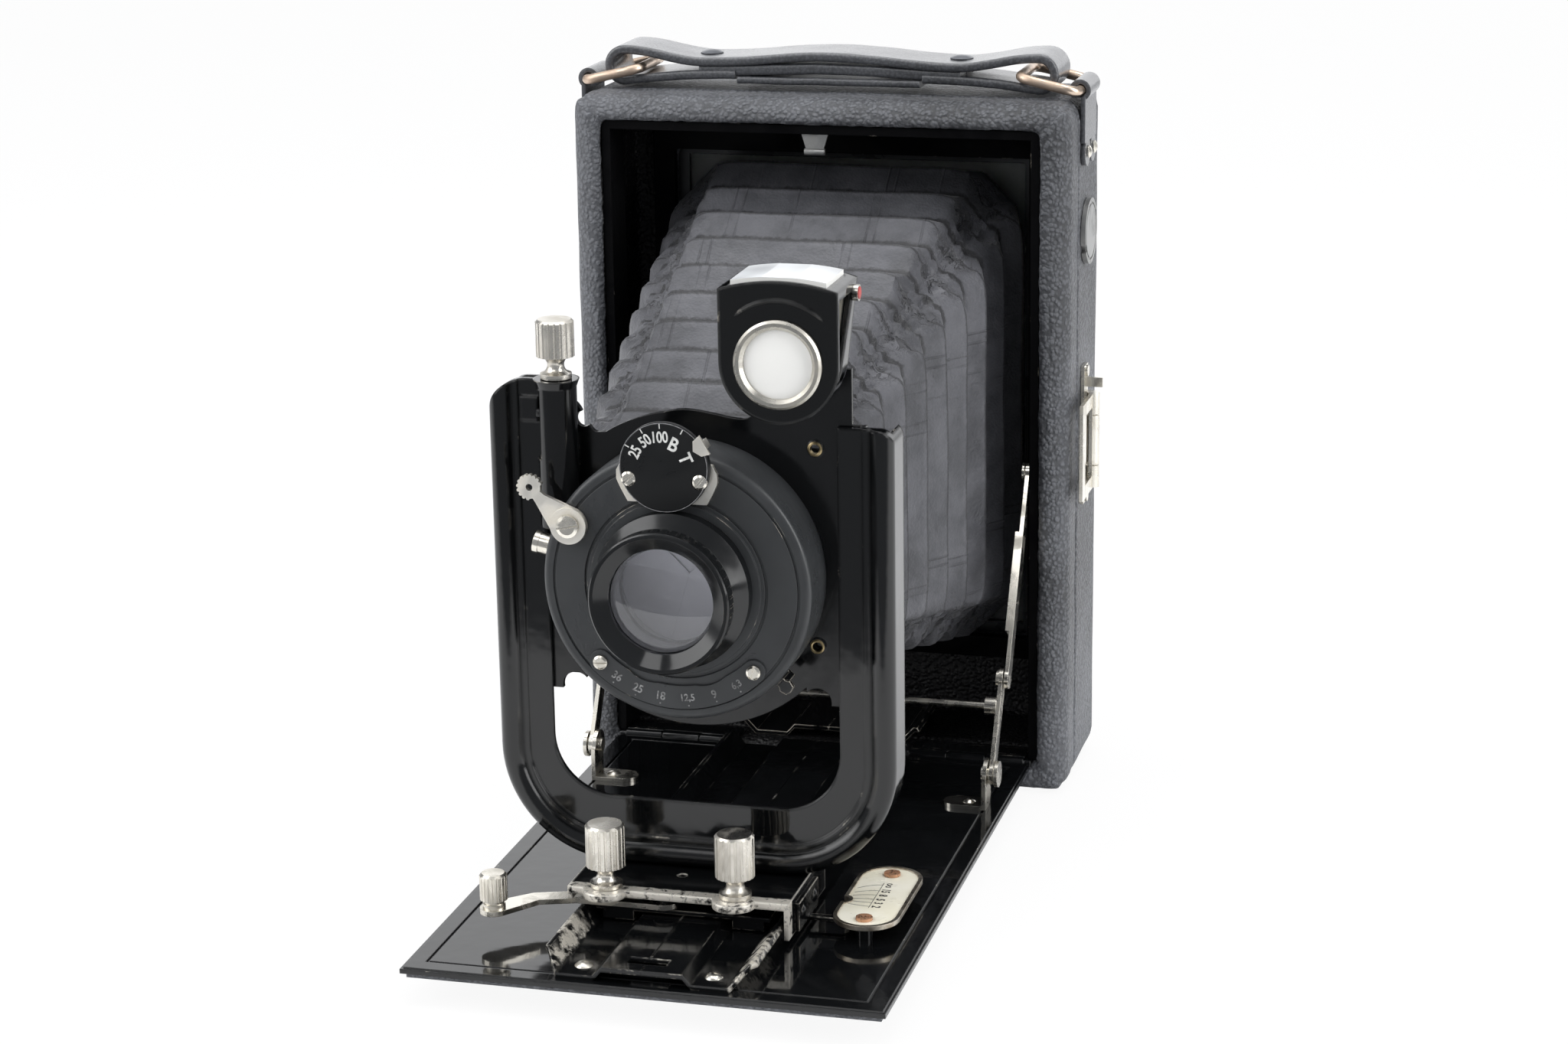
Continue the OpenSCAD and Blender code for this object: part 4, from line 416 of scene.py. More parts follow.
# Even cream on the finder's mirror: painted reflection in place of what it would mirror
MIRROR_PAINTED_REFLECTION = plain("mirror_painted_reflection", (0.66, 0.63, 0.53), (0.78, 0.75, 0.65), 0.4, 60.0)
RIVET = plain("painted_rivet", (0.07, 0.075, 0.085), (0.13, 0.135, 0.15), 0.32, 200.0)
RIM = plated("dull_ring", (0.54, 0.52, 0.47), (0.32, 0.29, 0.24), 0.3, 0.3)
# Finder lenses: painted light and painted reflection in place of what shows through the glass
FINDER_PAINTED_LIGHT = finder_lens("finder_lens")
# Darker nickel: the plug's own dull finish, and painted shade on the bed catch
DULL_NICKEL_AND_SHADE = plated("dull_nickel_and_shade", (0.36, 0.36, 0.355), (0.24, 0.24, 0.23), 0.4, 0.4)
CARD = scale_card("scale_card")
INK = plain("black_ink", (0.01, 0.01, 0.01), (0.03, 0.03, 0.03), 0.6, 900.0)
FIGURES = plain("white_figures", (0.62, 0.62, 0.60), (0.85, 0.85, 0.82), 0.5, 900.0)
FADED = plain("faded_figures", (0.13, 0.13, 0.13), (0.34, 0.34, 0.34), 0.6, 1200.0)
FAINT = plain("faint_line", (0.16, 0.16, 0.165), (0.34, 0.34, 0.35), 0.5, 1200.0)
RED = plain("red_dot", (0.30, 0.02, 0.02), (0.50, 0.06, 0.05), 0.4, 600.0)
LENS = glass("lens_glass", (0.96, 0.96, 0.97), coat=0.4, coat_tint=(0.94, 0.95, 1.0))
FROSTED = glass("ground_glass", (0.88, 0.91, 0.90), 0.45)

# Each finish with the CAD nodes that wear it
FINISHES = (
    (DULL, "opening_liner bellows_frame"),
    (ENAMEL_WORN, "case_track track_shoe distance_pointer aperture_pointer"),
    (ENAMEL, "bed_hinge plate_rails rise_tube"),
    (NICKEL, "case_rivets finder_hinge finder_frame bed_rivets strut_brackets tripod_bush "
             "lower_struts upper_strut_left upper_strut_right focus_lever shutter_screws "
             "cable_nipple"),
    (STRAP, "strap_lugs"),
    # The bed catch wears the darker nickel as painted shade
    (DULL_NICKEL_AND_SHADE, "socket_plug bed_catch"),
    (WIRE, "ring_left ring_right"),
    (RIVET, "handle_rivets"),
    (BED, "bed_plate"),
    (LEATHER, "bed_cover hood_lid"),
    (TRACK, "bed_track"),
    (CARD, "scale_plate"),
    (SCREWS, "scale_screws"),
    (CARRIAGE, "carriage"),
    (STANDARD, "standard"),
    (NICKEL_BRUSHED, "pull_knob_left pull_knob_right rise_knob"),
    (BOARD, "lens_board"),
    (SATIN, "shutter_housing aperture_plate back_frame"),
    (DIAL, "speed_dial"),
    (SHEET, "dial_shield release_lever speed_pointer"),
    (BARREL, "lens_barrel rear_cell"),
    (LENS, "front_glass"),
    (LEAF_STEEL_AND_REFLECTION, "shutter_blades iris_blades"),
    (FINDER, "finder_body"),
    (RIM, "finder_ring"),
    (FINDER_PAINTED_LIGHT, "finder_glasses"),
    (MIRROR_PAINTED_REFLECTION, "finder_mirror"),
    (FROSTED, "focusing_glass"),
)


def dress_nodes():
    """Gives the CAD nodes their finishes, each in all its slots."""
    for material, names in FINISHES:
        for name in names.split():
            for slot in NODES[name].material_slots:
                slot.material = material


# Mesh helpers
def add_object(name, data):
    item = bpy.data.objects.new(name, data)
    SCENE.collection.objects.link(item)
    return item


def new_piece(name, verts, faces, material):
    """A piece whose points are in mm."""
    mesh = bpy.data.meshes.new(name)
    mesh.from_pydata([tuple(float(c) * MM for c in p) for p in verts], [], faces)
    mesh.validate()
    mesh.materials.append(material)
    return add_object(name, mesh)


def closed_piece(name, verts, faces, material, body, angle=None):
    """A closed piece that rides on a body, smooth up to the angle or else flat."""
    piece = new_piece(name, verts, faces, material)
    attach(piece, body)
    recalc(piece)
    if angle:
        smooth_by_angle(piece, angle)
    return piece


def bake_modifiers(piece):
    """Replaces the piece's mesh by what its modifiers make of it."""
    depsgraph = bpy.context.evaluated_depsgraph_get()
    mesh = bpy.data.meshes.new_from_object(piece.evaluated_get(depsgraph))
    piece.modifiers.clear()
    piece.data = mesh


def smooth_by_angle(piece, degrees):
    """Smooth shading that stays crisp at edges sharper than the angle."""
    for poly in piece.data.polygons:
        poly.use_smooth = True
    piece.data.set_sharp_from_angle(angle=math.radians(degrees))


def recalc(piece):
    """Turns all faces of a closed piece outwards."""
    mesh = bmesh.new()
    mesh.from_mesh(piece.data)
    bmesh.ops.recalc_face_normals(mesh, faces=mesh.faces)
    mesh.to_mesh(piece.data)
    mesh.free()


def mix(a, b, t):
    return a + (b - a) * t


def heading(points, n):
    """Direction of a line of points at point n."""
    after, before = points[min(n + 1, len(points) - 1)], points[max(n - 1, 0)]
    return (after - before).normalized()


def tube_faces(rows, per):
    """Faces of a tube of rows rings with per points each, closed at both ends."""
    faces = []
    for n in range(rows - 1):
        for u in range(per):
            v = (u + 1) % per
            faces.append([n * per + u, n * per + v, (n + 1) * per + v, (n + 1) * per + u])
    faces.append(list(range(per))[::-1])
    faces.append([(rows - 1) * per + u for u in range(per)])
    return faces


def polar(centre, radius, degrees, y):
    """Point of an upright circle round centre, which is (x, z)."""
    a = math.radians(degrees)
    return (centre[0] + radius * math.cos(a), y, centre[1] + radius * math.sin(a))


# Leather on the body
# Opening of the front frame: half its width, half its height and the height of its middle
OPENING_W, OPENING_H, OPENING_Z = 50.0, 72.25, 79.95
LEATHER_SINK = 0.1       # keeps the uneven leather inside the shell's own outline
# Seams along the mitred corners, with the swelling beside them
SEAM_REACH, SEAM_DEPTH, SEAM_WIDTH = 9.0, 0.55, 0.45
SWELL_OFF, SWELL_HEIGHT, SWELL_WIDTH = 1.1, 0.16, 0.6
# Inner edge, where the leather is turned over
EDGE_REACH, EDGE_WIDTH, EDGE_ROUGH = 4.0, 0.8, 0.22


def leathered(node, body, voxel, change):
    """A remeshed copy of a CAD node with soft leather edges; change moves its points, in mm."""
    piece = NODES[node].copy()
    piece.data = NODES[node].data.copy()
    piece.name = piece.data.name = node + "_leather"
    for key in list(piece.keys()):
        del piece[key]
    SCENE.collection.objects.link(piece)
    piece.parent = None
    remesh = piece.modifiers.new("remesh", "REMESH")
    remesh.mode = "VOXEL"
    remesh.voxel_size = voxel * MM
    relax = piece.modifiers.new("relax", "SMOOTH")
    relax.factor = 0.5
    relax.iterations = 4
    bake_modifiers(piece)
    mesh = piece.data
    co, normal = (np.empty(3 * len(mesh.vertices)) for _ in range(2))
    mesh.vertices.foreach_get("co", co)
    mesh.vertices.foreach_get("normal", normal)
    co, normal = co.reshape(-1, 3) / MM, normal.reshape(-1, 3)
    co += normal * change(co)[:, None]
    mesh.vertices.foreach_set("co", (co * MM).ravel())
    mesh.materials.clear()
    mesh.materials.append(SHELL)
    for poly in mesh.polygons:
        poly.use_smooth = True
    mesh.update()
    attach(piece, body)
    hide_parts(node)


def uneven(co, size, amount, seed=0.0):
    """Smooth unevenness of a surface, in mm."""
    return np.array([noise.noise(Vector(p) / size + Vector((seed, seed, seed))) for p in co]) * amount


def front_change(co):
    """Padding, mitred corner seams and a turned-in inner edge on the front frame."""
    x, y, z = co.T
    shift = uneven(co, 9.0, 0.12) - LEATHER_SINK
    # Distance from the diagonal through the nearest corner of the opening
    side, up = np.abs(x) - OPENING_W, np.abs(z - OPENING_Z) - OPENING_H
    off = np.abs(side - up) / math.sqrt(2)
    corner = (np.minimum(side, up) > -0.6) & (y < FRONT + SEAM_REACH)
    shift -= np.where(corner, SEAM_DEPTH * np.exp(-(off / SEAM_WIDTH) ** 2), 0.0)
    shift += np.where(corner, SWELL_HEIGHT * np.exp(-((off - SWELL_OFF) / SWELL_WIDTH) ** 2), 0.0)
    # Leather turned over the inner edge is a little ragged
    to_edge = np.minimum(np.abs(side), np.abs(up))
    inner = np.exp(-(to_edge / EDGE_WIDTH) ** 2) * (y < FRONT + EDGE_REACH)
    shift += inner * uneven(co, 1.6, EDGE_ROUGH, 7.0)
    return shift


def rear_change(co):
    """Slight padding all over the rear part."""
    return uneven(co, 12.0, 0.14, 3.0) - LEATHER_SINK


# Bellows
PLEATS = 10
RINGS = 2 * PLEATS       # folds on the way to the lens board: ridges at odd numbers, valleys at even
# Rows of points between two folds, crowded at the folds to keep them crisp
FOLD_STEPS = (0.0, 0.05, 0.14, 0.32, 0.5, 0.68, 0.86, 0.95)
# Both ends: place along y, height of the middle, half the width and half the height
BELLOWS_REAR = (FRONT + 34.0 - 2.8, 84.0, 43.0, 57.5)
BELLOWS_FRONT = (STD_Y + 6.4, 81.4, 27.5, 26.2)
# How far in front of the body the first three of the four lengths end
LENGTH_ENDS = (48.0, 80.0, 88.0)
LONG_STEPS, CUT_STEPS = 38, 14       # points along a panel and along a cut corner
PLEAT_DEPTH = 3.5
RIDGE_CUT, VALLEY_CUT = 12.0, 8.0    # legs of the cut corners on a ridge and in a valley
CUT_SHARE = 0.12         # where a panel's flat part begins, with whole numbers at the corners
LEATHER_T = 0.8
# Crumpled corners: how far they reach along a panel, and how deep and how large the pockets are
CORNER_REACH, POCKET_DEPTH, POCKET_SIZE, CORNER_LAG = 0.10, 1.5, 3.6, 1.4
PINCH_REACH, PINCH_DEPTH = 0.11, 2.3
LINE_JUMP = 0.08         # a larger step between two points leads from one panel to the next


def pockets(at, size):
    """Smooth pockets between sharp ridges: 0 on a ridge, about 1 in a pocket."""
    at = at / size
    return 2.2 * abs(noise.noise(at)) + 1.1 * abs(noise.noise(at * 2.3 + Vector((7.0, 3.0, 1.0))))


def crumple(p, i, to_corner, ridge):
    """How far a point of fold i moves outwards and along y."""
    corner = math.exp(-(to_corner / CORNER_REACH) ** 2)
    pinch = math.exp(-(to_corner / PINCH_REACH) ** 2) * ridge * PINCH_DEPTH
    wave = noise.noise(Vector((p[0] * 0.05, i * 0.45, p[2] * 0.05)))
    at = Vector((p[0], 0.8 * p[1], p[2]))
    move = 0.35 * wave - 0.3 - pinch - corner * (0.2 + POCKET_DEPTH * pockets(at, POCKET_SIZE))
    lag = corner * CORNER_LAG * noise.noise(Vector((p[0] * 0.13, i * 0.5 + 9.0, p[2] * 0.13)))
    lag += 0.35 * noise.noise(Vector((p[0] * 0.09, int(i + 0.5) * 1.7, p[2] * 0.09)))
    return move, lag


def bellows_outline(w, h, cut):
    """Points of a ring with cut corners, as (x, z), and where each lies on the four panels."""
    corners = [(w, -h + cut), (w, h - cut), (w - cut, h), (-w + cut, h),
               (-w, h - cut), (-w, -h + cut), (-w + cut, -h), (w - cut, -h)]
    points, panels = [], []
    for k in range(8):
        a, b = corners[k], corners[(k + 1) % 8]
        flat = k % 2 == 0
        begin, end = (CUT_SHARE, 1 - CUT_SHARE) if flat else (1 - CUT_SHARE, 1 + CUT_SHARE)
        steps = LONG_STEPS if flat else CUT_STEPS
        for n in range(steps):
            t = n / steps
            points.append((mix(a[0], b[0], t), mix(a[1], b[1], t)))
            panels.append(k // 2 + mix(begin, end, t))
    points = np.array(points)
    return 0.5 * points + 0.25 * (np.roll(points, 1, 0) + np.roll(points, -1, 0)), panels


def bellows_ring(i, inset):
    """Ring at fold number i, counted from the rear and drawn in by inset.

    Gives its points, where each lies on the panels, and where each lies among the pressed strips.
    """
    f = i / RINGS
    y, mid, w, h = (mix(a, b, f) for a, b in zip(BELLOWS_REAR, BELLOWS_FRONT))
    valley = abs(i % 2 - 1)
    rounded = 0.9 * valley + 0.1 * (0.5 - 0.5 * math.cos(math.pi * valley))
    depth = PLEAT_DEPTH * rounded * (0.5 if i > RINGS - 1 else 1.0) + inset
    w, h = w - depth, h - depth
    cut = mix(RIDGE_CUT, VALLEY_CUT, rounded) * mix(1.0, 0.8, f) - 0.4 * inset
    points, panels = bellows_outline(w, h, cut)
    ring = np.column_stack([points[:, 0], np.full(len(points), y), points[:, 1] + mid])
    # Both ends are glued flat to their frames
    loose = min(1.0, (RINGS - i) / 1.5, i + 0.05)
    out, strips = [], []
    for n, p in enumerate(ring):
        upright = int(panels[n] % 4 + 0.06) % 2 == 0
        strips.append((p[2] if upright else p[0]) / STRIP_UNIT)
        k = panels[n] % 1.0
        outward = Vector((p[0] / w, 0.0, (p[2] - mid) / h))
        outward.normalize()
        move, lag = crumple(p, i, min(k, 1 - k), 1 - valley)
        out.append(Vector(p) + outward * move * loose + Vector((0.0, lag * loose, 0.0)))
    return out, panels, strips


def bellows_length(levels, rows, lining, first, last):
    """Mesh of the bellows between two levels, with the two UV maps that its leather reads."""
    panels = rows[0][1]
    per = len(panels)
    size = (last - first + 1) * per
    verts = [p for n in range(first, last + 1) for p in rows[n][0]]
    verts += [p for n in range(first, last + 1) for p in lining[n]]
    faces, panel_uv, strip_uv = [], [], []
    for layer in (0, 1):
        for n in range(last - first):
            low, high = levels[first + n], levels[first + n + 1]
            near, far = rows[first + n][2], rows[first + n + 1][2]
            for u in range(per):
                v = (u + 1) % per
                a, b = layer * size + n * per + u, layer * size + n * per + v
                quad = [a, b, b + per, a + per]
                right = panels[v] if v else 4 + CUT_SHARE
                corners = [(panels[u], low), (right, low), (right, high), (panels[u], high)]
                lines = [(near[u], low), (near[v], low), (far[v], high), (far[u], high)]
                if abs(near[u] - near[v]) > LINE_JUMP:
                    lines = [(NO_STRIP, low)] * 4
                if layer == 0:
                    quad, corners, lines = quad[::-1], corners[::-1], lines[::-1]
                faces.append(quad)
                panel_uv += corners
                strip_uv += lines
    # Narrow rims join the outer side to the lining at both ends
    for n, turned in ((0, False), (last - first, True)):
        for u in range(per):
            v = (u + 1) % per
            a, b = n * per + u, n * per + v
            quad = [a, b, b + size, a + size]
            faces.append(quad[::-1] if turned else quad)
            panel_uv += [(panels[u], levels[first + n])] * 4
            strip_uv += [(NO_STRIP, levels[first + n])] * 4
    return verts, faces, panel_uv, strip_uv


def make_bellows():
    """The bellows in four lengths, cut at given places on the way to the lens board."""
    levels = [i + t for i in range(RINGS) for t in FOLD_STEPS] + [float(RINGS)]
    rows = [bellows_ring(level, 0.0) for level in levels]
    lining = [bellows_ring(level, LEATHER_T)[0] for level in levels]
    rear, front = BELLOWS_REAR[0], BELLOWS_FRONT[0]
    fold = (rear - front) / RINGS
    ends = [rear] + [FRONT - reach for reach in LENGTH_ENDS] + [front]
    cuts = [min(range(len(levels)), key=lambda n: abs(levels[n] - (rear - end) / fold)) for end in ends]
    for k in range(4):
        first, last = cuts[k], cuts[k + 1]
        verts, faces, panel_uv, strip_uv = bellows_length(levels, rows, lining, first, last)
        piece = new_piece("bellows_%d" % (k + 1), verts, faces, BELLOWS)
        for name, pairs in (("panel", panel_uv), ("strips", strip_uv)):
            layer = piece.data.uv_layers.new(name=name)
            layer.data.foreach_set("uv", [c for pair in pairs for c in pair])
        smooth_by_angle(piece, 30)
        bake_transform(piece)
        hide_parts("bellows")


# Handle
HANDLE_Y = FRONT + 20.0
STRAP_LOW = 158.5        # lower side of the strap
STRAP_DIP = 6.6          # from there up to the lowest place of its upper line
STRAP_HUMP = 0.85        # half of what the upper line rises to in the middle
LOOP_X, LOOP_R, RIVET_X = 47.6, 4.5, 28.9
# Width and thickness of the three layers, and how high over STRAP_LOW the lower ones lie
BAND_W, BAND_T = 15.6, 2.0
FILLER_W, FILLER_T, FILLER_RISE, FILLER_X = 14.6, 2.4, 3.6, 30
PAD_W, PAD_T, PAD_RISE, PAD_X = 15.8, 1.6, 1.75, 21
TAIL_X, TAIL_RISE = 21.5, 2.9        # end of the band that comes back below


def sweep(name, path, width, thick, round_by):
    """A layer of the strap: a rounded flat section swept along a path of (x, z) points, in mm."""
    section = []
    for quarter, (s, t) in enumerate(((1, 1), (-1, 1), (-1, -1), (1, -1))):
        for step in range(5):
            a = math.pi / 2 * (quarter + step / 4)
            section.append((s * (width / 2 - round_by) + round_by * math.cos(a),
                            t * (thick / 2 - round_by) + round_by * math.sin(a)))
    # More points along the two wide sides
    across = []
    for a, b in zip(section, section[1:] + section[:1]):
        across.append(a)
        if abs(b[0] - a[0]) > 2:
            across += [(mix(a[0], b[0], n / 12), a[1]) for n in range(1, 12)]
    pts = [Vector((x, 0, z)) for x, z in path]
    verts = []
    for n, p in enumerate(pts):
        along = heading(pts, n)
        up = Vector((-along.z, 0, along.x))
        for w, t in across:
            q = p + up * t + Vector((0, HANDLE_Y + w, 0))
            verts.append(q + up * 0.10 * noise.noise(q / 6.0))
    return closed_piece(name, verts, tube_faces(len(pts), len(across)), STRAP, "strap", 50)


def strap_line(x):
    """Height of the strap's upper line over x, as in the CAD."""
    if abs(x) < RIVET_X:
        rise = STRAP_HUMP * (1 + math.cos(math.pi * x / RIVET_X))
    else:
        t = (abs(x) - RIVET_X) / (LOOP_X - RIVET_X)
        rise = (LOOP_R - STRAP_DIP / 2) * (1 - math.cos(math.pi * t))
    return STRAP_LOW + STRAP_DIP + rise


def make_handle():
    """Layered strap: a band that turns round the rings and comes back below, a filler and a pad."""
    loop_z, bend = STRAP_LOW + LOOP_R, LOOP_R - BAND_T / 2
    right = [(LOOP_X + bend * math.cos(a), loop_z + bend * math.sin(a))
             for a in (math.radians(d) for d in range(-90, 91, 12))]
    left = [(-x, z) for x, z in right]
    low_z = right[0][1]
    tail = [(mix(TAIL_X, LOOP_X, n / 16), mix(STRAP_LOW + TAIL_RISE, low_z, (n / 16) ** 2))
            for n in range(16)]
    upper = [(x, strap_line(x) - BAND_T / 2) for x in np.linspace(-LOOP_X, LOOP_X, 97)[1:-1]]
    whole = [(-x, z) for x, z in tail] + left + upper + right[::-1] + tail[::-1]
    band = sweep("strap_band", whole, BAND_W, BAND_T, 0.7)
    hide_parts("handle_strap")
    # The filler runs half way between the pad and the band's lower side
    middle = [(x, mix(STRAP_LOW + FILLER_RISE, strap_line(x) - BAND_T - 0.9, 0.5))
              for x in np.linspace(-FILLER_X, FILLER_X, 51)]
    filler = sweep("strap_filler", middle, FILLER_W, FILLER_T, 0.7)
    lowest = [(x, STRAP_LOW + PAD_RISE) for x in np.linspace(-PAD_X, PAD_X, 43)]
    pad = sweep("strap_pad", lowest, PAD_W, PAD_T, 0.6)


# Raised figures, lines and turned parts
SUNK = 0.02              # how deep figures and lines reach into the surface under them
LETTER_DEPTH, LETTER_BOLD = 0.02, 0.022      # for letters one unit high


def lettering(name, text, size, at, right, up, material, body, thick=0.05, narrow=1.0):
    """Plain figures standing on a surface: at is their middle, right and up their directions."""
    curve = bpy.data.curves.new(name, "FONT")
    curve.body = text
    curve.size = 1.0
    curve.extrude = LETTER_DEPTH
    curve.offset = LETTER_BOLD
    curve.align_x = "CENTER"
    curve.align_y = "CENTER"
    maker = add_object(name, curve)
    bpy.context.view_layer.update()
    mesh = bpy.data.meshes.new_from_object(maker.evaluated_get(bpy.context.evaluated_depsgraph_get()))
    bpy.data.objects.remove(maker)
    right, up = Vector(right).normalized(), Vector(up).normalized()
    out = right.cross(up)
    low = min(v.co.y for v in mesh.vertices)
    high = max(v.co.y for v in mesh.vertices)
    scale = size / (high - low)
    mid_x = (min(v.co.x for v in mesh.vertices) + max(v.co.x for v in mesh.vertices)) / 2
    for v in mesh.vertices:
        flat = right * (v.co.x - mid_x) * scale * narrow + up * (v.co.y - (low + high) / 2) * scale
        v.co = (Vector(at) + flat + out * (thick if v.co.z > 0 else -SUNK)) * MM
    mesh.materials.clear()
    mesh.materials.append(material)
    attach(add_object(name, mesh), body)


def lathe(name, profile, centre, axis, material, body, steps=48):
    """A turned ring or disc: a closed profile of (radius, height) round axis through centre."""
    axis = Vector(axis).normalized()
    side = axis.orthogonal().normalized()
    other = axis.cross(side)
    verts, faces, per = [], [], len(profile)
    for n in range(steps):
        a = 2 * math.pi * n / steps
        out = side * math.cos(a) + other * math.sin(a)
        verts += [Vector(centre) + out * r + axis * h for r, h in profile]
    for n in range(steps):
        for u in range(per):
            v = (u + 1) % per
            m = (n + 1) % steps
            faces.append([n * per + u, n * per + v, m * per + v, m * per + u])
    closed_piece(name, verts, faces, material, body, 40)


def bead(name, points, width, height, material, body, out):
    """A raised bead with tapered ends along points, standing on a surface whose normal is out."""
    out, per, verts = Vector(out).normalized(), 9, []
    pts = [Vector(p) for p in points]
    for n, p in enumerate(pts):
        side = heading(pts, n).cross(out).normalized()
        taper = math.sqrt(max(0.002, 1 - abs(2 * n / (len(pts) - 1) - 1) ** 5))
        for k in range(per):
            a = math.pi * k / (per - 1)
            rise = math.sin(a) * height * taper - 0.05
            verts.append(p + side * math.cos(a) * width / 2 * taper + out * rise)
    closed_piece(name, verts, tube_faces(len(pts), per), material, body, 50)


def bars(name, strokes, thick, material, body, out):
    """Thin raised lines along polylines; strokes are (points, width), out is their normal."""
    verts, faces = [], []
    out = Vector(out)
    for points, width in strokes:
        pts = [Vector(p) for p in points]
        base = len(verts)
        for n, p in enumerate(pts):
            side = heading(pts, n).cross(out).normalized() * width / 2
            for s, h in ((-1, -SUNK), (1, -SUNK), (1, thick), (-1, thick)):
                verts.append(p + side * s + out * h)
        faces += [[base + corner for corner in face] for face in tube_faces(len(pts), 4)]
    closed_piece(name, verts, faces, material, body)


# Speed dial: its middle and its face, and the circles of its rim line and its ticks
DIAL_MIDDLE, DIAL_Y = (-1.0, AXIS_Z + 24.9), FACE_Y - 3.0
RIM_R, TICK_R = 8.82, (7.75, 8.75)
# Each speed's place in degrees, its text, its height and its distance from the middle
SPEEDS = ((153, "25", 2.3, 6.3), (124, "50", 2.3, 6.3), (94, "100", 2.3, 6.1), (64, "B", 2.8, 5.2),
          (24, "T", 2.7, 5.0))
TICKS = (151, 121, 94, 62)
# Crescent of the apertures: each one's place in degrees and its text
APERTURE_Y, APERTURE_R = FACE_Y - 0.45, 22.6
APERTURE_DOT_R = (24.05, 24.35)
APERTURES = ((237, "36"), (249, "25"), (261.5, "18"), (275.5, "12,5"), (289.5, "9"), (302.5, "6,3"))
# Distance card, with each distance's place along it; the first line belongs to infinity
CARD_Z, CARD_X, INFINITY_Y = 11.45, 37.1, -108.4
DISTANCES = {"15": -111.6, "8": -114.0, "5": -116.3, "3": -118.2, "2": -120.2}


def make_speeds():
    """Speeds, ticks and rim line of the dial."""
    for degrees, text, size, radius in SPEEDS:
        a = math.radians(degrees)
        lettering("speed_" + text, text, size, polar(DIAL_MIDDLE, radius, degrees, DIAL_Y),
                  (math.sin(a), 0, -math.cos(a)), (math.cos(a), 0, math.sin(a)), FIGURES, "lens_board",
                  narrow=0.76 if text.isdigit() else 0.9)
    ticks = [([polar(DIAL_MIDDLE, r, d, DIAL_Y) for r in TICK_R], 0.22) for d in TICKS]
    bars("speed_ticks", ticks, 0.05, FIGURES, "lens_board", (0, -1, 0))
    rim = [polar(DIAL_MIDDLE, RIM_R, d, DIAL_Y) for d in range(0, 361, 5)]
    bars("dial_rim", [(rim, 0.14)], 0.03, FAINT, "lens_board", (0, -1, 0))


def make_apertures():
    """Aperture numbers of the crescent, each with a dot."""
    lens, dots = (0.0, AXIS_Z), []
    for degrees, text in APERTURES:
        a = math.radians(degrees)
        lettering("aperture_" + text.replace(",", "_"), text, 1.75,
                  polar(lens, APERTURE_R, degrees, APERTURE_Y), (-math.sin(a), 0, math.cos(a)),
                  (-math.cos(a), 0, -math.sin(a)), FADED, "lens_board", 0.03, 0.9)
        dots.append(([polar(lens, r, degrees, APERTURE_Y) for r in APERTURE_DOT_R], 0.3))
    bars("aperture_dots", dots, 0.03, FADED, "lens_board", (0, -1, 0))


def make_distances():
    """Distances in metres, read from the left, with the lines of the moving pointer beside them."""
    for text, y in DISTANCES.items():
        lettering("distance_" + text, text, 1.8, (CARD_X, y, CARD_Z), (0, -1, 0), (1, 0, 0), INK, "bed",
                  0.03, 0.8)
    # Infinity is a loop like an 8
    loop = [(37.0 + 0.5 * math.sin(2 * t), INFINITY_Y + 1.0 * math.cos(t), CARD_Z)
            for t in (math.radians(a) for a in range(0, 361, 15))]
    lines = [(loop, 0.24)]
    # Each line bends away to the pointer's side, where the distances stand closer
    line_x, line_long, centre_y, closer, back = 35.6, 4.6, -113.6, 0.72, 1.2
    for y in (INFINITY_Y, *DISTANCES.values()):
        far = centre_y + (y - centre_y) * closer - back
        line = [(line_x - line_long * t, mix(y, far, t ** 1.8), CARD_Z) for t in np.linspace(0, 1, 9)]
        lines.append((line, 0.14))
    lines.append(([(35.7, -107.2, CARD_Z), (35.7, -121.0, CARD_Z)], 0.12))
    bars("distance_lines", lines, 0.02, INK, "bed", (0, 0, 1))


# Leaves of the shutter, in degrees and mm
LEAF_R, LEAF_ANGLE, LEAF_TURN, LEAF_T, LEAF_PITCH = 13.2, 150, 15, 0.22, 0.3


def make_leaves():
    """Three closed leaves of the shutter, each lying on the next."""
    for n in range(3):
        start = 120 * n + LEAF_TURN
        arc = [polar((0.0, AXIS_Z), LEAF_R, start + d, 0.0) for d in range(0, LEAF_ANGLE + 1, 10)]
        ring = [(0.0, 0.0, AXIS_Z)] + arc
        y = LEAF_Y - LEAF_PITCH * n
        verts = [(x, y - t, z) for t in (0.0, LEAF_T) for x, _, z in ring]
        leaf = closed_piece("shutter_leaf_%d" % (n + 1), verts, tube_faces(2, len(ring)), LEAF_STEEL_AND_REFLECTION,
                            "lens_board")
        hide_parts("shutter_blades")


# Small things, in mm from the standard's front plane and the lens axis
EYELET_X, EYELET_HEIGHTS = 25.4, {"eyelet_upper": 26.2, "eyelet_lower": -14.2}
EYELET = [(0.85, -0.5), (1.15, -0.5), (1.5, 0.0), (1.5, 0.12), (1.2, 0.3), (0.95, 0.2)]
BEAD_MIDDLE, BEAD_R, BEAD_W, BEAD_H = (22.3, AXIS_Z + 46.4), 12.4, 1.1, 0.45
FINDER_DOT_PLACE = (35.18, STD_Y + 0.1, AXIS_Z + 58.2)
FINDER_DOT = [(0.0001, 0.0), (1.25, 0.0), (1.2, 0.15), (0.7, 0.25), (0.0001, 0.28)]


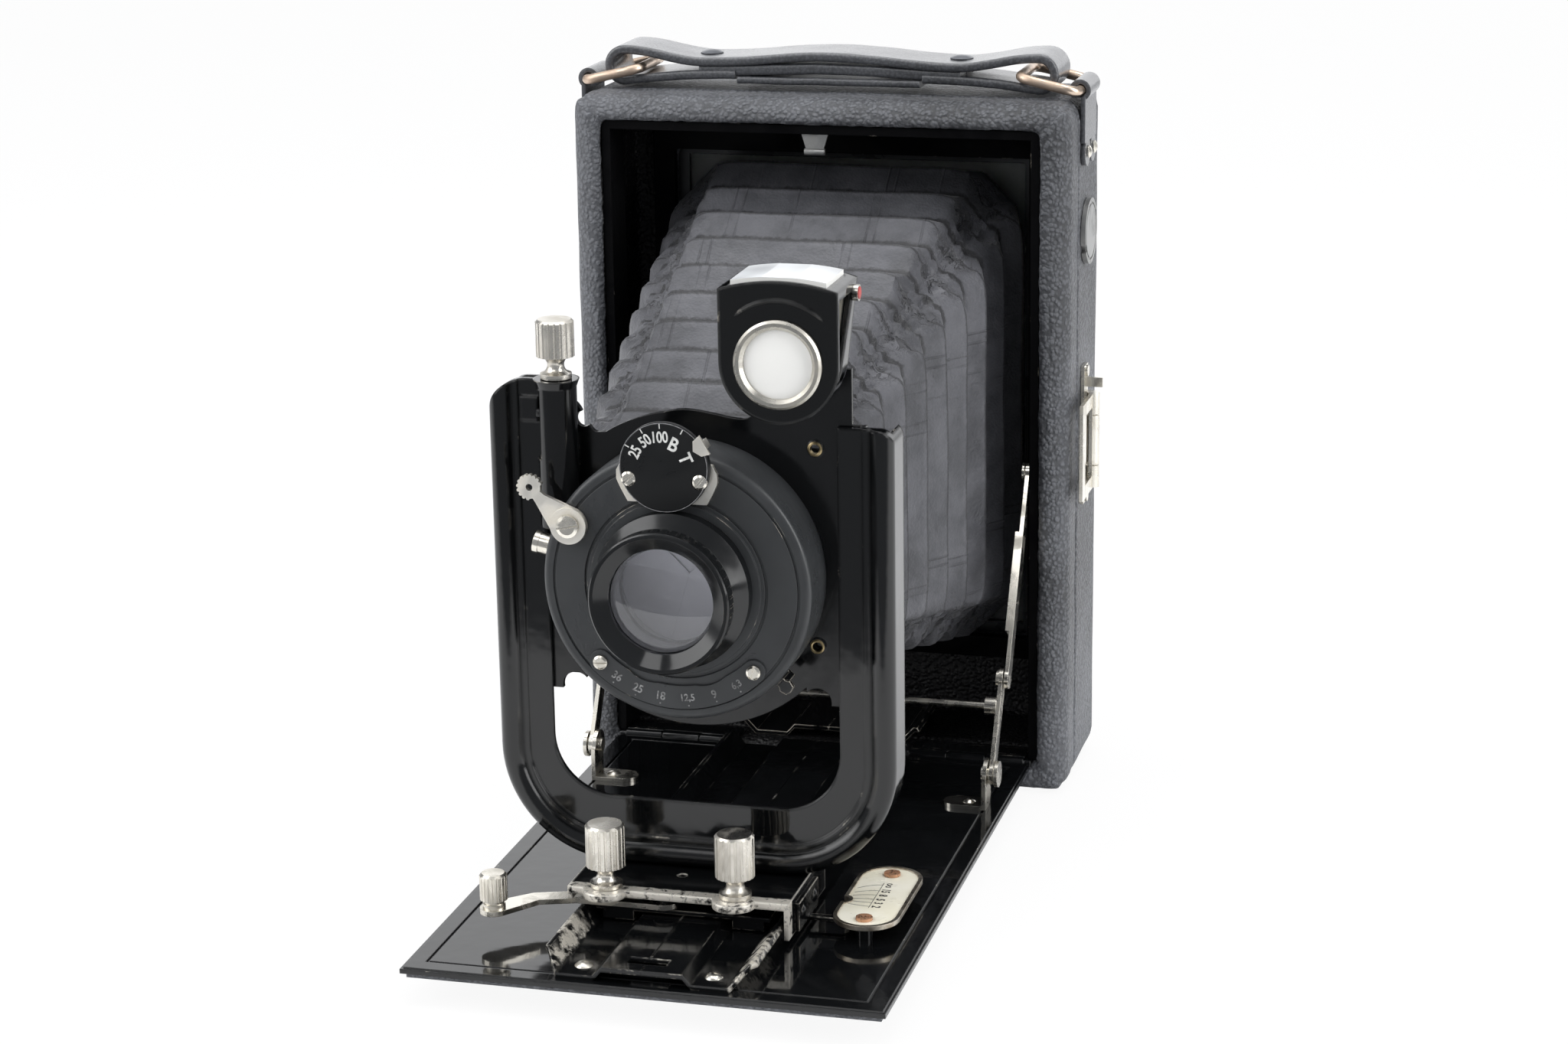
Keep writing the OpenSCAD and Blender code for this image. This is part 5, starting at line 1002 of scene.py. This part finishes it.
def make_details():
    """Small things that the photo shows: eyelets, the finder's bead and its red dot."""
    for name, z in EYELET_HEIGHTS.items():
        lathe(name, EYELET, (EYELET_X, STD_Y + 2.5, AXIS_Z + z), (0, -1, 0), BRASS, "lens_board")
    arc = [polar(BEAD_MIDDLE, BEAD_R, d, STD_Y - 12.5) for d in range(44, 137, 3)]
    bead("finder_bead", arc, BEAD_W, BEAD_H, FINDER, "brilliant_finder", (0, -1, 0))
    lathe("finder_dot", FINDER_DOT, FINDER_DOT_PLACE, (1, 0, 0), RED, "brilliant_finder", 32)


# Stage, in metres
# The floor ends a little in front of the bed, out of the picture, so that upright black faces
# mirror the dim room and not the pale floor
FLOOR_SIZE, FLOOR_EDGE = 3.0, -0.31
FLOOR_GLOW = 0.92        # share of pure white that the camera sees
ROOM_COLOUR, ROOM_LEVEL = (0.92, 0.95, 1.0, 1), 0.37
WHITE = (1, 1, 1, 1)
AIM = (0, -0.06, 0.09)
# Each lamp's place, what it points at, its size and its brightness
LAMPS = {
    "softbox_left": ((-0.95, -0.55, 0.75), AIM, (0.9, 1.2), 3.6),
    "softbox_right": ((0.95, -0.25, 0.55), AIM, (0.5, 1.1), 5.0),
    "softbox_top": ((0.0, 0.1, 1.25), AIM, (1.1, 0.9), 3.4),
    "softbox_front": ((-0.25, -1.35, 1.35), AIM, (0.6, 0.45), 3.0),
    # Bright backdrop, mirrored by what lies flat
    "backdrop": ((0.0, 2.2, 0.75), (0, 0, 0.3), (3.6, 1.4), 1.1),
}
# The photo's camera: its place, and its turn, tilt and roll in degrees
CAMERA_PLACE = (0.189761, -0.751725, 0.274271)
CAMERA_TURN, CAMERA_TILT, CAMERA_ROLL = 15.12, -15.66, 0.88
CAMERA_LENS, CAMERA_SENSOR = 79.456, 36.0
CAMERA_CLIP = (0.05, 20.0)


def make_floor():
    """Pale floor that is almost pure white to the camera and keeps a faint shadow."""
    mesh = bpy.data.meshes.new("floor")
    corners = [(-FLOOR_SIZE, FLOOR_EDGE, 0.0), (FLOOR_SIZE, FLOOR_EDGE, 0.0),
               (FLOOR_SIZE, FLOOR_SIZE, 0.0), (-FLOOR_SIZE, FLOOR_SIZE, 0.0)]
    mesh.from_pydata(corners, [], [(0, 1, 2, 3)])
    add_object("floor", mesh)
    s = Shade("pale_floor", Roughness=0.7)
    s.set("Base Color", s.mix(s.noise(2.0), (0.86, 0.86, 0.86), (0.90, 0.90, 0.90)))
    glow = s.add("Emission", {"Color": WHITE, "Strength": 1.0})
    share = s.times(s.add("LightPath").outputs["Is Camera Ray"], FLOOR_GLOW)
    both = s.add("MixShader", {0: share, 1: s.bsdf.outputs[0], 2: glow.outputs[0]})
    s.tree.links.new(both.outputs[0], s.tree.nodes["Material Output"].inputs["Surface"])
    mesh.materials.append(s.mat)


def make_world():
    """Dim room, white where the camera sees it directly or through glass."""
    world = bpy.data.worlds.new("studio")
    SCENE.world = world
    world.use_nodes = True
    world.node_tree.nodes.clear()
    node, link = world.node_tree.nodes.new, world.node_tree.links.new
    path, seen = node("ShaderNodeLightPath"), node("ShaderNodeMath")
    seen.operation = "MAXIMUM"
    link(path.outputs["Is Camera Ray"], seen.inputs[0])
    link(path.outputs["Is Transmission Ray"], seen.inputs[1])
    white, room = node("ShaderNodeBackground"), node("ShaderNodeBackground")
    white.inputs["Color"].default_value = WHITE
    room.inputs["Color"].default_value = ROOM_COLOUR
    room.inputs["Strength"].default_value = ROOM_LEVEL
    choose = node("ShaderNodeMixShader")
    for socket, source in zip(choose.inputs, (seen, room, white)):
        link(source.outputs[0], socket)
    link(choose.outputs[0], node("ShaderNodeOutputWorld").inputs["Surface"])


def area_lamp(name, place, target, size, level):
    """A soft box whose face has the given brightness."""
    data = bpy.data.lights.new(name, "AREA")
    data.shape = "RECTANGLE"
    data.size, data.size_y = size
    data.energy = level * math.pi * size[0] * size[1]
    lamp = add_object(name, data)
    lamp.location = place
    lamp.visible_camera = False
    lamp.rotation_mode = "QUATERNION"
    lamp.rotation_quaternion = (Vector(target) - Vector(place)).to_track_quat("-Z", "Y")


def make_camera():
    """The camera that took the photo, fitted to points of the product."""
    camera = add_object("camera", bpy.data.cameras.new("camera"))
    camera.data.lens = CAMERA_LENS
    camera.data.sensor_width = CAMERA_SENSOR
    camera.data.clip_start, camera.data.clip_end = CAMERA_CLIP
    turn = (Matrix.Rotation(math.radians(CAMERA_TURN), 3, "Z")
            @ Matrix.Rotation(math.radians(CAMERA_TILT), 3, "X")
            @ Matrix.Rotation(math.radians(CAMERA_ROLL), 3, "Y"))
    right, forward, up = (turn.col[i] for i in range(3))
    basis = Matrix((right, up, -forward)).transposed().to_4x4()
    camera.matrix_world = Matrix.Translation(Vector(CAMERA_PLACE)) @ basis
    SCENE.camera = camera


make_floor()
make_world()
for lamp_name, lamp_values in LAMPS.items():
    area_lamp(lamp_name, *lamp_values)
make_camera()
SCENE.view_settings.view_transform = "Standard"

dress_nodes()
leathered("front_shell", "camera_body", 0.8, front_change)
leathered("rear_shell", "camera_body", 1.0, rear_change)
make_bellows()
make_handle()
make_speeds()
make_apertures()
make_distances()
make_leaves()
make_details()
